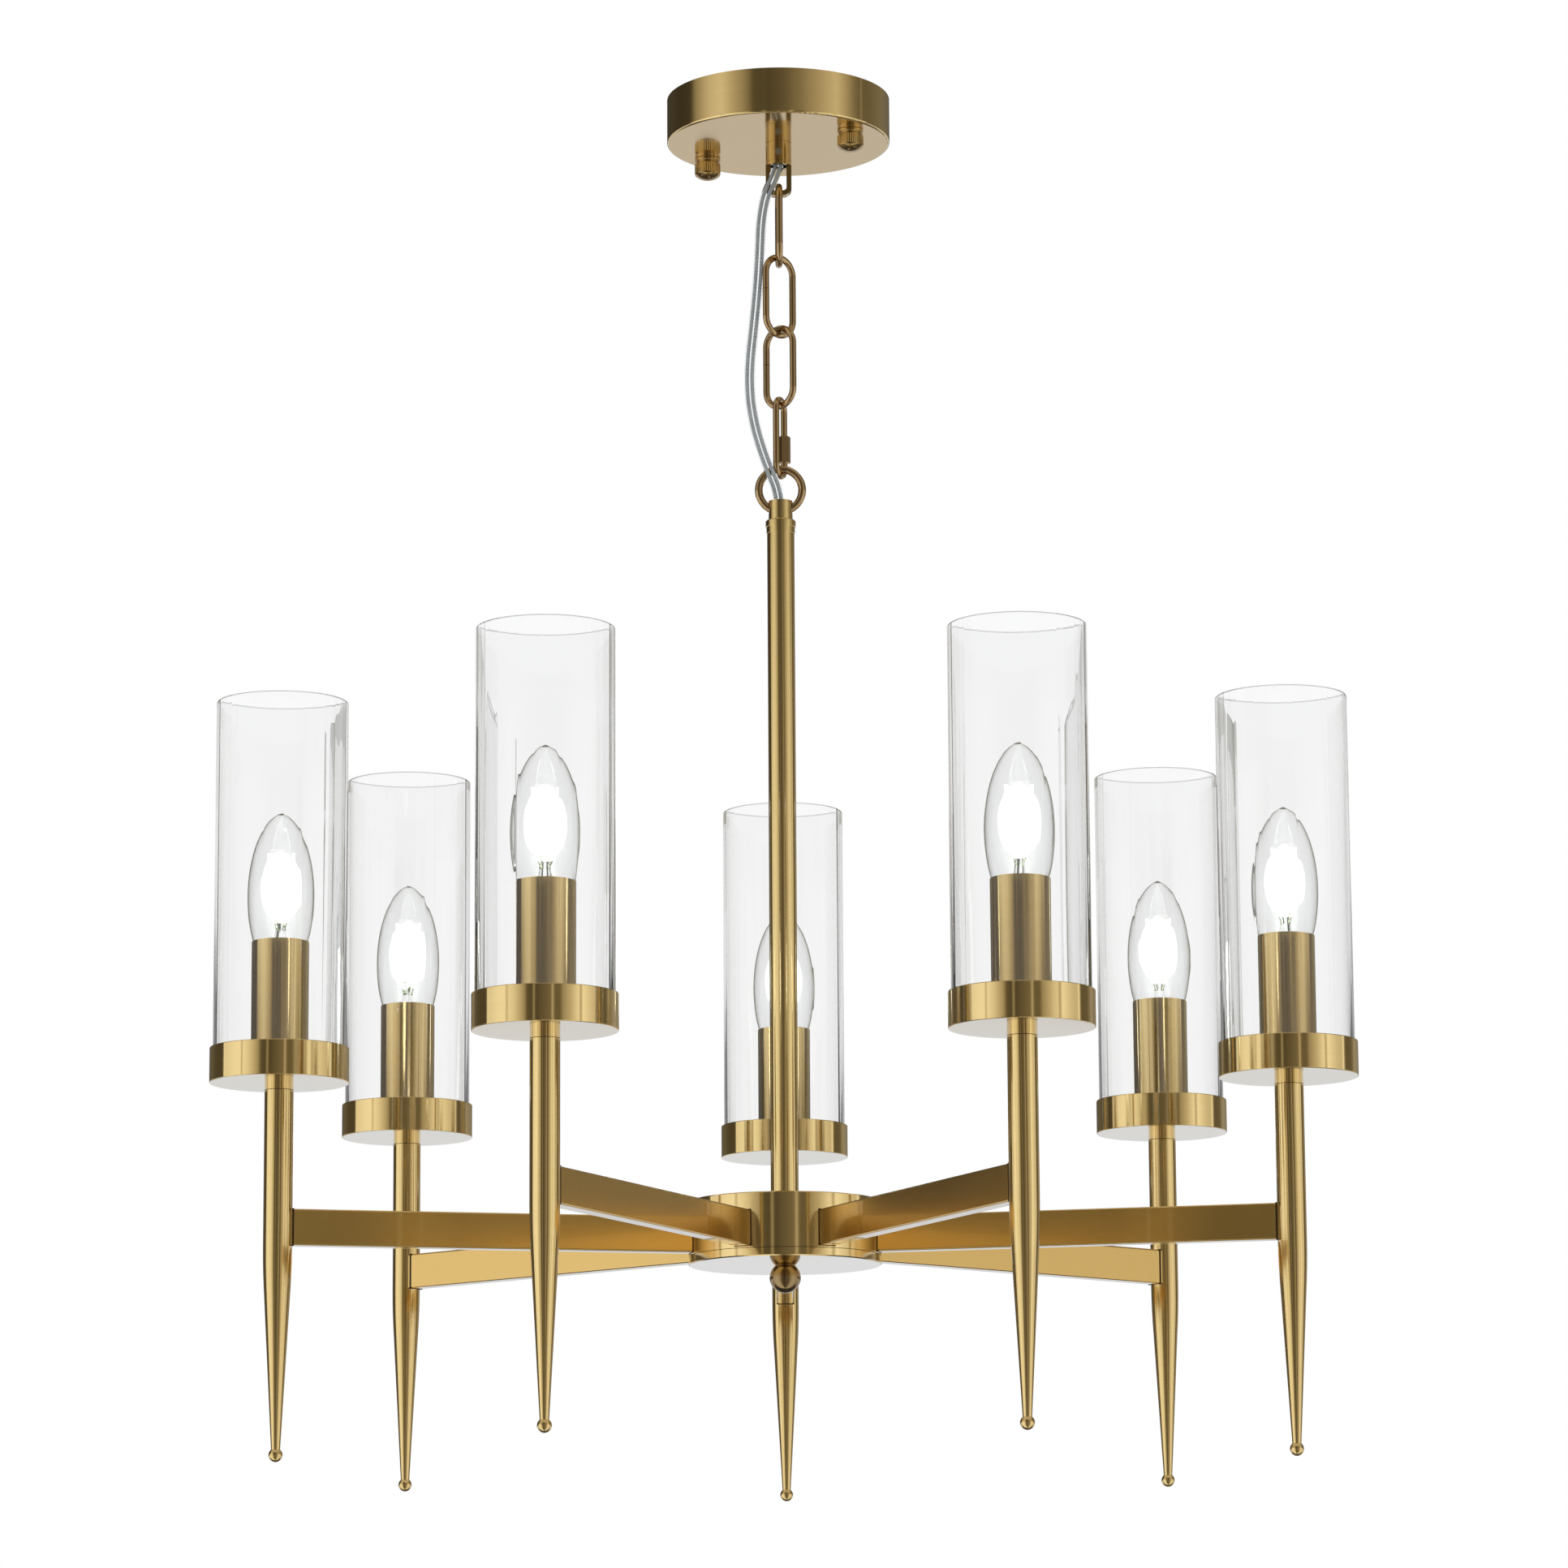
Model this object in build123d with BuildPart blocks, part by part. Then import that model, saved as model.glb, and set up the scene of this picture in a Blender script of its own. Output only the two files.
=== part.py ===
from build123d import *
import os
from math import cos, radians, sin, sqrt, tan

# A seven-arm chandelier that hangs from a ceiling on a short chain.
# The origin is on the ceiling, at the middle of the mounting bracket. +Z is up, -Y is the front.
# All sizes are in millimetres. Heights are counted from the ceiling, so they are negative.

# ---------------------------------------------------------------- driving sizes

# mounting bracket and the studs that carry the canopy
bracket_end = 6                  # bracket beyond each stud's middle
bracket_width = 20
bracket_thickness = 2
bracket_angle = -34              # the bracket's long way, turned from +X about the axis
screw_spacing = 70               # ceiling screws, hole to hole
screw_hole_dia = 5
supply_hole_dia = 10             # the building's cable comes through here
stud_spacing = 100
bracket_length = stud_spacing + 2 * bracket_end
stud_dia = 4
stud_overlap = 9                 # length of stud inside a cap nut
lock_nut_width = 7
lock_nut_height = 3.2

# canopy
canopy_dia = 129
canopy_height = 26.5
canopy_wall = 1.2
canopy_edge_radius = 1.3
stud_clearance = 0.4             # on the diameter of the canopy's stud holes

# knurled cap nuts
cap_nut_dia = 15
cap_nut_height = 12.7
cap_nut_flange_height = 2
cap_nut_groove_depth = 0.6
cap_nut_groove_height = 0.6
cap_nut_shoulder = 0.8           # chamfer below the groove
cap_nut_dome = 3                 # height of the domed end
thread_clearance = 0.1           # on the diameter of a nut that runs on its thread

# hollow threaded nipples, the same tube in the canopy and in the hub
nipple_dia = 10
nipple_bore = 6
nipple_nut_width = 14
nipple_nut_height = 4
canopy_nipple_rise = 9           # how far it stands above the canopy's floor
canopy_nipple_bore = 7.6

# chain grip: a collar under the canopy with a U loop
grip_dia = 15.1
grip_height = 13
grip_thread_depth = 4
loop_strap = 2.9                 # thickness of the flat strap the loop is bent from
loop_depth = 6                   # width of that strap, front to back
loop_width = 14.9                # over the legs
loop_drop = 16.5                 # collar's foot to the middle of the loop's bar
loop_corner_radius = 3.4
set_screw_dia = 4
set_screw_length = 2.6
set_screw_height = 7             # above the collar's foot
set_screw_socket = 2             # across flats
grip_groove_depth = 0.35
grip_groove_width = 0.8

# terminal block in the canopy
block_length = 21
block_width = 17
block_height = 11
block_ways = 3
block_offset = 19                # its middle, from the axis
block_wire_hole = 3.2
lead_dia = 5
lead_bend = 4.5

# chain links
chain_wire = 3.8
link_length = 49.9
link_width = 23.8
link_angles = (92, 40, -40)      # each link's wide way, turned from +X
hang_gap = 0.02                  # left between two wires that bear on each other

# quick link and its nut
quick_wire = 3.7
quick_length = 48.7
quick_width = 15.7
quick_angle = 68
gate_nut_width = 6.4
gate_nut_height = 15.4
gate_nut_rise = 2.95             # the closed nut's foot, above the end of the lower bend
gate_gap = 6.8
gate_nut_lap = 2                 # the closed nut's hold on the lower thread

# ring
ring_dia = 29.4
ring_wire = 4.5

# stem
collar_dia = 13.7
collar_rise = 4.1                # collar's top above its cross hole
collar_height = 11.3
collar_bore = 11.2
cross_hole_dia = 6.8
flange_dia = 17.2
flange_height = 3.85
flange_chamfer = 0.6
ferrule_dia = 16.3
ferrule_height = 3.8
stem_dia = 15.6
stem_wall = 1.2
stem_spigot_length = 8
stem_cap_bore = 8                # the flex passes through it
stem_bush_length = 12
stem_length = 384.4

# hub
hub_dia = 108
hub_wall = 1.5
hub_body_height = 30.9
hub_cover_height = 4.8
hub_bevel = 0.6

# finial
finial_ball_dia = 17.5
finial_neck_dia = 11
finial_drop = 6.9                # cover's underside to the ball's centre
finial_stud_length = 9
stud_hole_clearance = 0.2        # on the diameter of the cover's hole

# arms
arm_count = 7
arm_circle_radius = 286          # hub axis to post axis
arm_height = 20
arm_width = 10
arm_wall = 1.2
arm_corner_radius = 1            # of the tube's long edges
arm_drop = 19.8                  # hub's top to the arms' middle
arm_inside_hub = 4.5             # how far an arm reaches past the hub's wall

# posts
post_dia = 16
post_above_arm = 75.9            # arm's middle to the post's top
post_below_arm = 21.9            # arm's middle to where the taper starts
taper_length = 99.8
taper_blend_radius = 400
tip_neck_dia = 5
tip_ball_dia = 7.8
post_bore = 7
post_side_hole = 6               # the lead comes in from the arm through it
post_socket_depth = 12

# cups
cup_dia = 77
cup_height = 19.5
cup_wall = 1.3
cup_floor = 1.5
cup_edge_radius = 0.4
boss_height = 4

# glass cylinders
glass_clearance = 0.4            # between the glass and the cup's rim
glass_wall = 2
glass_length = 212.7

# candle sleeves and the lamp holders in them
sleeve_dia = 32
sleeve_wall = 0.8
sleeve_length = 77.8
holder_dia = 29
holder_length = 66.1
holder_bore_depth = 24.7
cap_clearance = 0.3              # between a lamp's cap and its holder
spigot_length = 15.5

# lamps
lamp_dia = 37
lamp_cap_dia = 13.5
lamp_cap_length = 25
lamp_glass_length = 83
lamp_shoulder = 45               # tip to the widest place
lamp_tip_dia = 5
lamp_tip_height = 1.2
lamp_neck_dia = 15.8

# leads inside the arms
arm_lead_dia = 3.5
junction_dia = 28
junction_height = 9

# flex: a flat clear twin, 6 wide and 3 thick, drawn as a plain round tube of like section
flex_dia = 5
flex_route = [
    (-0.1, -2.1, -39.5), (-2.2, -5.6, -47.0), (-7.4, -6.9, -58.0), (-10.4, -5.8, -73.5),
    (-11.2, -4.2, -93.0), (-12.6, -3.6, -114.0), (-14.8, -3.2, -136.0), (-17.3, -3.2, -158.0),
    (-17.4, -3.8, -177.0), (-14.8, -4.9, -194.5), (-10.4, -6.4, -210.5), (-5.5, -6.6, -224.0),
    (-1.6, -3.5, -233.2), (-0.7, -2.5, -241.1),
]

# ---------------------------------------------------------------- heights worked out from them

canopy_foot = -canopy_height
stud_length = canopy_height + stud_overlap
grip_foot = canopy_foot - grip_height
loop_bar = grip_foot - loop_drop
link_eye = link_width / 2 - chain_wire                             # radius inside a link's end
strap_sag = link_eye - sqrt(link_eye**2 - (loop_depth / 2)**2)
link_top = loop_bar + (loop_strap + chain_wire) / 2 + strap_sag + hang_gap
link_drop = link_length - chain_wire                               # top wire to bottom wire
link_pitch = link_drop - chain_wire - hang_gap
quick_top = link_top - 2 * link_pitch - link_drop + (chain_wire + quick_wire) / 2 + hang_gap
quick_foot = quick_top - (quick_length - quick_wire)
ring_top = quick_foot + (quick_wire + ring_wire) / 2 + hang_gap
ring_centre = ring_top - (ring_dia - ring_wire) / 2
ring_radius = (ring_dia - ring_wire) / 2
wall_middle = (collar_dia + collar_bore) / 4                       # middle of the collar's wall
cross_hole = ring_centre - sqrt(ring_radius**2 - wall_middle**2)
collar_top = cross_hole + collar_rise
flange_top = collar_top - collar_height
ferrule_top = flange_top - flange_height
stem_top = ferrule_top - ferrule_height
hub_top = stem_top - stem_length
cover_top = hub_top - hub_body_height
cover_foot = cover_top - hub_cover_height
arm_middle = hub_top - arm_drop
post_top = arm_middle + post_above_arm
taper_top = arm_middle - post_below_arm
taper_foot = taper_top - taper_length
ball_centre = taper_foot - sqrt(tip_ball_dia**2 - tip_neck_dia**2) / 2
cup_foot = post_top + boss_height
cup_seat = cup_foot + cup_floor
glass_dia = cup_dia - 2 * cup_wall - 2 * glass_clearance
glass_top = cup_seat + glass_length
sleeve_top = cup_seat + sleeve_length
holder_top = cup_seat + holder_length
holder_bore = lamp_cap_dia + 2 * cap_clearance
lamp_foot = holder_top - holder_bore_depth
lamp_cap_top = lamp_foot + lamp_cap_length
lamp_tip = lamp_cap_top + lamp_glass_length

os.makedirs("parts", exist_ok=True)


# ---------------------------------------------------------------- helpers

def upright(angle=0.0, radius=0.0, height=0.0):
    """A plane that stands upright at that place: its x runs along the angle, its y is up."""
    along = Vector(cos(radians(angle)), sin(radians(angle)), 0)
    return Plane(origin=along * radius + Vector(0, 0, height), x_dir=along,
                 z_dir=along.cross(Vector(0, 0, 1)))


def section(place, *points):
    """A closed outline of (radius, height) points, ready to be turned or drawn out."""
    with BuildSketch(place) as outline:
        with BuildLine():
            Polyline(*points, close=True)
        make_face()
    return outline.sketch


def facing(angle, distance=0.0):
    """A plane that faces outwards at that distance from the axis: its x runs level, its y is up."""
    along = Vector(cos(radians(angle)), sin(radians(angle)), 0)
    return Plane(origin=along * distance, x_dir=Vector(0, 0, 1).cross(along), z_dir=along)


def axis_of(place):
    return Axis(place.origin, (0, 0, 1))


def wire_path(place, width, length, gap=None):
    """The centreline of an oval link: two straight legs and two half rounds.
    A gap is a pair of heights between which the leg on the place's +x side is left out."""
    half = width / 2
    top, foot = length / 2 - half, half - length / 2
    with BuildLine(place) as path:
        if gap is None:
            Line((half, foot), (half, top))
        else:
            Line((half, gap[1]), (half, top))
        ThreePointArc((half, top), (0, length / 2), (-half, top))
        Line((-half, top), (-half, foot))
        ThreePointArc((-half, foot), (0, -length / 2), (half, foot))
        if gap is not None:
            Line((half, foot), (half, gap[0]))
    return path.wire()


def across(path):
    """The plane square to a path at its start."""
    return Plane(origin=path @ 0, z_dir=path % 0)


def write(sub_part, name):
    sub_part.part.label = name
    export_step(sub_part.part, f"parts/{name}.step")


def arm_angle(number):
    return 90 + (number - 1) * 360 / arm_count


def post_place(number):
    return upright(arm_angle(number), arm_circle_radius)


# ---------------------------------------------------------------- ceiling group

bracket_plane = Plane.XY.rotated((0, 0, bracket_angle))

with BuildPart() as mounting_bracket:
    with BuildSketch(bracket_plane):
        SlotOverall(bracket_length, bracket_width)
        with Locations((-screw_spacing / 2, 0), (screw_spacing / 2, 0)):
            Circle(screw_hole_dia / 2, mode=Mode.SUBTRACT)
        with Locations((-stud_spacing / 2, 0), (stud_spacing / 2, 0)):
            Circle(stud_dia / 2, mode=Mode.SUBTRACT)
        Circle(supply_hole_dia / 2, mode=Mode.SUBTRACT)
    extrude(amount=-bracket_thickness)
write(mounting_bracket, "mounting_bracket")

with BuildPart() as bracket_studs:
    with BuildSketch(bracket_plane):
        with Locations((-stud_spacing / 2, 0), (stud_spacing / 2, 0)):
            Circle(stud_dia / 2)
    extrude(amount=-stud_length)
    with BuildSketch(bracket_plane.offset(-bracket_thickness)):
        with Locations((-stud_spacing / 2, 0), (stud_spacing / 2, 0)):
            RegularPolygon(lock_nut_width / 2, 6, major_radius=False)
            Circle((stud_dia + thread_clearance) / 2, mode=Mode.SUBTRACT)
    extrude(amount=-lock_nut_height)
write(bracket_studs, "bracket_studs")

with BuildPart() as canopy:
    with BuildSketch(Plane.XY.offset(canopy_foot)):
        Circle(canopy_dia / 2)
    extrude(amount=canopy_height)
    fillet(canopy.faces().sort_by(Axis.Z)[0].edges(), canopy_edge_radius)
    offset(amount=-canopy_wall, openings=canopy.faces().sort_by(Axis.Z)[-1])
    with BuildSketch(Plane.XY.offset(canopy_foot)):
        Circle(nipple_dia / 2)
    extrude(amount=canopy_wall, mode=Mode.SUBTRACT)
    with BuildSketch(bracket_plane.offset(canopy_foot)):
        with Locations((-stud_spacing / 2, 0), (stud_spacing / 2, 0)):
            Circle((stud_dia + stud_clearance) / 2)
    extrude(amount=canopy_wall, mode=Mode.SUBTRACT)
write(canopy, "canopy")


def make_cap_nut(side):
    """A round thumb nut with a flange, a groove and a domed end, blind from the top."""
    place = upright(bracket_angle, side * stud_spacing / 2, canopy_foot)
    outer = cap_nut_dia / 2
    groove = outer - cap_nut_groove_depth
    bore = (stud_dia + thread_clearance) / 2
    flange_foot = -cap_nut_flange_height
    groove_foot = flange_foot - cap_nut_groove_height
    depth = -stud_overlap - thread_clearance
    with BuildPart() as nut:
        with BuildSketch(place):
            with BuildLine():
                TangentArc((0, -cap_nut_height), (outer, cap_nut_dome - cap_nut_height),
                           tangent=(1, 0))
                Polyline((outer, cap_nut_dome - cap_nut_height),
                         (outer, groove_foot - cap_nut_shoulder),
                         (outer - cap_nut_shoulder, groove_foot), (groove, groove_foot),
                         (groove, flange_foot), (outer, flange_foot), (outer, 0), (bore, 0),
                         (bore, depth), (0, depth), (0, -cap_nut_height))
            make_face()
        revolve(axis=axis_of(place))
    return nut


write(make_cap_nut(-1), "cap_nut_left")
write(make_cap_nut(1), "cap_nut_right")

floor_top = canopy_foot + canopy_wall
nipple_top = floor_top + canopy_nipple_rise

with BuildPart() as canopy_nipple:
    with BuildSketch(Plane.XY.offset(nipple_top)):
        Circle(nipple_dia / 2)
        Circle(canopy_nipple_bore / 2, mode=Mode.SUBTRACT)
    extrude(amount=canopy_foot - grip_thread_depth - nipple_top)
    with BuildSketch(Plane.XY.offset(floor_top)):
        RegularPolygon(nipple_nut_width / 2, 6, major_radius=False)
        Circle((nipple_dia + thread_clearance) / 2, mode=Mode.SUBTRACT)
    extrude(amount=nipple_nut_height)
write(canopy_nipple, "canopy_nipple")

set_screw_place = Plane(origin=(0, -grip_dia / 2, grip_foot + set_screw_height), x_dir=(1, 0, 0),
                        z_dir=(0, -1, 0))

with BuildPart() as chain_grip:
    outer = grip_dia / 2
    inner = nipple_dia / 2
    groove = outer - grip_groove_depth
    upper = canopy_foot - grip_groove_width
    lower = grip_foot + 2 * grip_groove_width
    revolve(section(
        Plane.XZ, (inner, canopy_foot), (groove, canopy_foot), (groove, upper), (outer, upper),
        (outer, lower + grip_groove_width), (groove, lower + grip_groove_width), (groove, lower),
        (outer, lower), (outer, grip_foot), (inner, grip_foot)), axis=Axis.Z)
    with BuildSketch(set_screw_place):
        Circle(set_screw_dia / 2)
    extrude(amount=-grip_dia / 2, mode=Mode.SUBTRACT)
    with BuildLine(Plane.XZ) as loop_path:
        half = (loop_width - loop_strap) / 2
        FilletPolyline((half, grip_foot), (half, loop_bar), (-half, loop_bar), (-half, grip_foot),
                       radius=loop_corner_radius)
    with BuildSketch(Plane.XY.offset(grip_foot)):
        with Locations((half, 0)):
            Rectangle(loop_strap, loop_depth)
    sweep(path=loop_path.wire())
write(chain_grip, "chain_grip")

with BuildPart() as grip_set_screw:
    with BuildSketch(set_screw_place):
        Circle(set_screw_dia / 2)
    extrude(amount=-set_screw_length)
    with BuildSketch(set_screw_place):
        RegularPolygon(set_screw_socket / 2, 6, major_radius=False)
    extrude(amount=-set_screw_length / 2, mode=Mode.SUBTRACT)
write(grip_set_screw, "grip_set_screw")

block_plane = bracket_plane.offset(-bracket_thickness)
block_pitch = block_length / block_ways

with BuildPart() as terminal_block:
    with BuildSketch(block_plane):
        with Locations((-block_offset, 0)):
            Rectangle(block_length, block_width)
    extrude(amount=-block_height)
    with BuildSketch(block_plane.offset(-block_height)):
        with Locations((-block_offset, 0)):
            with GridLocations(block_pitch, block_width / 2, block_ways, 2):
                Circle(block_wire_hole / 2)
    extrude(amount=block_height / 2, mode=Mode.SUBTRACT)
    lead_height = (nipple_top - bracket_thickness) / 2
    with BuildLine(upright(bracket_angle)) as lead_path:
        lead_end = block_length / 2 - block_offset + thread_clearance
        FilletPolyline((0, nipple_top), (0, lead_height), (lead_end, lead_height), radius=lead_bend)
    with BuildSketch(Plane.XY.offset(nipple_top)):
        Circle(lead_dia / 2)
    sweep(path=lead_path.wire())
write(terminal_block, "terminal_block")

# ---------------------------------------------------------------- chain group

for number, angle in enumerate(link_angles, start=1):
    height = link_top - (number - 1) * link_pitch - link_drop / 2
    oval = wire_path(upright(angle, height=height), link_width - chain_wire, link_drop)
    with BuildPart() as link:
        with BuildSketch(across(oval)):
            Circle(chain_wire / 2)
        sweep(path=oval)
    write(link, f"chain_link_{number}")

quick_drop = quick_length - quick_wire
quick_span = quick_width - quick_wire
quick_middle = quick_top - quick_drop / 2
quick_place = upright(quick_angle, height=quick_middle)
gate_foot = quick_span / 2 - quick_drop / 2 + gate_nut_rise         # the closed nut's foot
gate_open = gate_foot + gate_nut_lap
gate_path = wire_path(quick_place, quick_span, quick_drop, gap=(gate_open, gate_open + gate_gap))

with BuildPart() as quick_link:
    with BuildSketch(across(gate_path)):
        Circle(quick_wire / 2)
    sweep(path=gate_path)
write(quick_link, "quick_link")

gate_leg = upright(quick_angle, quick_span / 2, quick_middle + gate_foot)

with BuildPart() as quick_link_nut:
    with BuildSketch(Plane(origin=gate_leg.origin, x_dir=gate_leg.x_dir, z_dir=(0, 0, 1))):
        RegularPolygon(gate_nut_width / 2, 6, major_radius=False)
        Circle((quick_wire + thread_clearance) / 2, mode=Mode.SUBTRACT)
    extrude(amount=gate_nut_height)
write(quick_link_nut, "quick_link_nut")

with BuildPart() as stem_ring:
    with BuildSketch(Plane.XY.offset(ring_centre)):
        with Locations((ring_radius, 0)):
            Circle(ring_wire / 2)
    revolve(axis=Axis((0, 0, ring_centre), (0, 1, 0)))
write(stem_ring, "stem_ring")

# flex: each bend is as large as its two runs allow
bends = []
for before, corner, after in zip(flex_route, flex_route[1:], flex_route[2:]):
    run_in, run_out = Vector(corner) - Vector(before), Vector(after) - Vector(corner)
    turn = radians(run_in.get_angle(run_out))
    bends.append(0.45 * min(run_in.length, run_out.length) / tan(turn / 2))
print("flex bend radii:", [round(bend) for bend in bends])

with BuildPart() as power_cord:
    with BuildLine() as flex_path:
        FilletPolyline(*flex_route, radius=bends)
    with BuildSketch(across(flex_path.wire())):
        Circle(flex_dia / 2)
    sweep(path=flex_path.wire())
flex_length = flex_path.wire().length
print(f"flex length {flex_length:.1f}, volume {power_cord.part.volume:.0f},",
      f"section times length {3.14159 * flex_dia**2 / 4 * flex_length:.0f}")
write(power_cord, "power_cord")

# ---------------------------------------------------------------- stem

with BuildPart() as stem_cap:
    collar, flange, ferrule = collar_dia / 2, flange_dia / 2, ferrule_dia / 2
    spigot = stem_dia / 2 - stem_wall
    bore = collar_bore / 2
    through = stem_cap_bore / 2
    edge = flange_chamfer
    revolve(section(
        Plane.XZ, (bore, collar_top), (collar, collar_top), (collar, flange_top),
        (flange - edge, flange_top), (flange, flange_top - edge), (flange, ferrule_top),
        (ferrule, ferrule_top), (ferrule, stem_top), (spigot, stem_top),
        (spigot, stem_top - stem_spigot_length), (through, stem_top - stem_spigot_length),
        (through, flange_top), (bore, flange_top)), axis=Axis.Z)
    with BuildSketch(Plane.YZ.offset(-collar_dia)):
        with Locations((0, cross_hole)):
            Circle(cross_hole_dia / 2)
    extrude(amount=2 * collar_dia, mode=Mode.SUBTRACT)
write(stem_cap, "stem_cap")

with BuildPart() as stem_tube:
    outer, inner = stem_dia / 2, stem_dia / 2 - stem_wall
    bush_top = hub_top + stem_bush_length
    revolve(section(
        Plane.XZ, (inner, stem_top), (outer, stem_top), (outer, hub_top), (nipple_dia / 2, hub_top),
        (nipple_dia / 2, bush_top), (inner, bush_top)), axis=Axis.Z)
write(stem_tube, "stem_tube")

# ---------------------------------------------------------------- hub

hub_radius = hub_dia / 2
hub_inner = hub_radius - hub_wall

with BuildPart() as hub_body:
    revolve(section(
        Plane.XZ, (nipple_dia / 2, hub_top), (hub_radius - hub_bevel, hub_top),
        (hub_radius, hub_top - hub_bevel), (hub_radius, cover_top), (hub_inner, cover_top),
        (hub_inner, hub_top - hub_wall), (nipple_dia / 2, hub_top - hub_wall)), axis=Axis.Z)
    for number in range(1, arm_count + 1):
        with BuildSketch(facing(arm_angle(number))):
            with Locations((0, arm_middle)):
                RectangleRounded(arm_width, arm_height, arm_corner_radius)
        extrude(amount=hub_radius, mode=Mode.SUBTRACT)
write(hub_body, "hub_body")

cover_floor = cover_foot + hub_wall

with BuildPart() as hub_cover:
    hole = (nipple_bore + stud_hole_clearance) / 2
    revolve(section(
        Plane.XZ, (hub_radius, cover_top), (hub_radius, cover_foot + hub_bevel),
        (hub_radius - hub_bevel, cover_foot), (hole, cover_foot), (hole, cover_floor),
        (hub_inner, cover_floor), (hub_inner, cover_top)), axis=Axis.Z)
write(hub_cover, "hub_cover")

with BuildPart() as hub_nipple:
    with BuildSketch(Plane.XY.offset(cover_floor)):
        Circle(nipple_dia / 2)
        Circle(nipple_bore / 2, mode=Mode.SUBTRACT)
    extrude(amount=hub_top + stem_bush_length - cover_floor)
    for foot in (hub_top - hub_wall - nipple_nut_height, cover_floor):
        with BuildSketch(Plane.XY.offset(foot)):
            RegularPolygon(nipple_nut_width / 2, 6, major_radius=False)
            Circle((nipple_dia + thread_clearance) / 2, mode=Mode.SUBTRACT)
        extrude(amount=nipple_nut_height)
write(hub_nipple, "hub_nipple")

with BuildPart() as finial:
    ball = finial_ball_dia / 2
    ball_height = cover_foot - finial_drop
    neck = finial_neck_dia / 2
    neck_foot = ball_height + sqrt(ball**2 - neck**2)
    stud = nipple_bore / 2
    with BuildSketch(Plane.XZ):
        with BuildLine():
            Polyline((0, ball_height - ball), (0, cover_foot + finial_stud_length),
                     (stud, cover_foot + finial_stud_length), (stud, cover_foot), (neck, cover_foot),
                     (neck, neck_foot))
            ThreePointArc((neck, neck_foot), (ball, ball_height), (0, ball_height - ball))
        make_face()
    revolve(axis=Axis.Z)
write(finial, "finial")

# ---------------------------------------------------------------- arms, posts and cups


def make_arm(number):
    """A rectangular tube from inside the hub to the post, its end hollowed to fit the post."""
    start = hub_radius - hub_wall - arm_inside_hub
    place = post_place(number)
    with BuildPart() as arm:
        with BuildSketch(facing(arm_angle(number), start)):
            with Locations((0, arm_middle)):
                RectangleRounded(arm_width, arm_height, arm_corner_radius)
                Rectangle(arm_width - 2 * arm_wall, arm_height - 2 * arm_wall, mode=Mode.SUBTRACT)
        extrude(amount=arm_circle_radius - start)
        with BuildSketch(Plane(origin=place.origin + Vector(0, 0, arm_middle - arm_height))):
            Circle(post_dia / 2)
        extrude(amount=2 * arm_height, mode=Mode.SUBTRACT)
    return arm


def make_post(number):
    """A turned post: straight at the top, a long taper below, a ball at the tip."""
    place = post_place(number)
    outer, socket, bore = post_dia / 2, nipple_dia / 2, post_bore / 2
    neck, ball = tip_neck_dia / 2, tip_ball_dia / 2
    socket_foot = post_top - post_socket_depth
    bore_foot = arm_middle - post_bore
    with BuildPart() as post:
        with BuildSketch(place) as outline:
            with BuildLine():
                Polyline((0, ball_centre - ball), (0, bore_foot), (bore, bore_foot),
                         (bore, socket_foot), (socket, socket_foot), (socket, post_top),
                         (outer, post_top), (outer, taper_top), (neck, taper_foot))
                ThreePointArc((neck, taper_foot), (ball, ball_centre), (0, ball_centre - ball))
            make_face()
            bend = outline.vertices().filter_by_position(Axis.Y, taper_top - 1, taper_top + 1)
            fillet(bend, taper_blend_radius)
        revolve(axis=axis_of(place))
        with BuildSketch(facing(arm_angle(number), arm_circle_radius - post_dia)):
            with Locations((0, arm_middle)):
                Circle(post_side_hole / 2)
        extrude(amount=post_dia, mode=Mode.SUBTRACT)
    return post


def make_cup(number):
    """A shallow cup with a boss under its floor."""
    place = post_place(number)
    outer, boss, hole = cup_dia / 2, post_dia / 2, nipple_dia / 2
    inner = outer - cup_wall
    with BuildPart() as cup:
        revolve(section(
            place, (hole, post_top), (boss, post_top), (boss, cup_foot), (outer, cup_foot),
            (outer, cup_foot + cup_height), (inner, cup_foot + cup_height), (inner, cup_seat),
            (hole, cup_seat)), axis=axis_of(place))
        rims = cup.edges().filter_by(GeomType.CIRCLE).group_by(SortBy.RADIUS)[-1]
        fillet(rims, cup_edge_radius)
    return cup


def make_glass(number):
    """A clear cylinder, open at both ends, that stands on the cup's floor."""
    place = post_place(number)
    outer = glass_dia / 2
    inner = outer - glass_wall
    with BuildPart() as glass:
        revolve(section(place, (inner, cup_seat), (outer, cup_seat), (outer, glass_top),
                        (inner, glass_top)), axis=axis_of(place))
    return glass


def make_lamp(number):
    """A candle lamp: its glass bulb and its screw cap."""
    place = post_place(number)
    widest, neck, tip, cap = lamp_dia / 2, lamp_neck_dia / 2, lamp_tip_dia / 2, lamp_cap_dia / 2
    shoulder = lamp_tip - lamp_shoulder
    with BuildPart() as lamp:
        with BuildSketch(place):
            with BuildLine():
                Line((0, lamp_cap_top), (neck, lamp_cap_top))
                TangentArc((widest, shoulder), (neck, lamp_cap_top), tangent=(0, -1))
                TangentArc((widest, shoulder), (tip, lamp_tip - lamp_tip_height), tangent=(0, 1))
                Line((tip, lamp_tip - lamp_tip_height), (0, lamp_tip))
                Line((0, lamp_tip), (0, lamp_cap_top))
            make_face()
        revolve(axis=axis_of(place))
        revolve(section(place, (0, lamp_foot), (cap, lamp_foot), (cap, lamp_cap_top),
                        (0, lamp_cap_top)), axis=axis_of(place))
    return lamp


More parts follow.
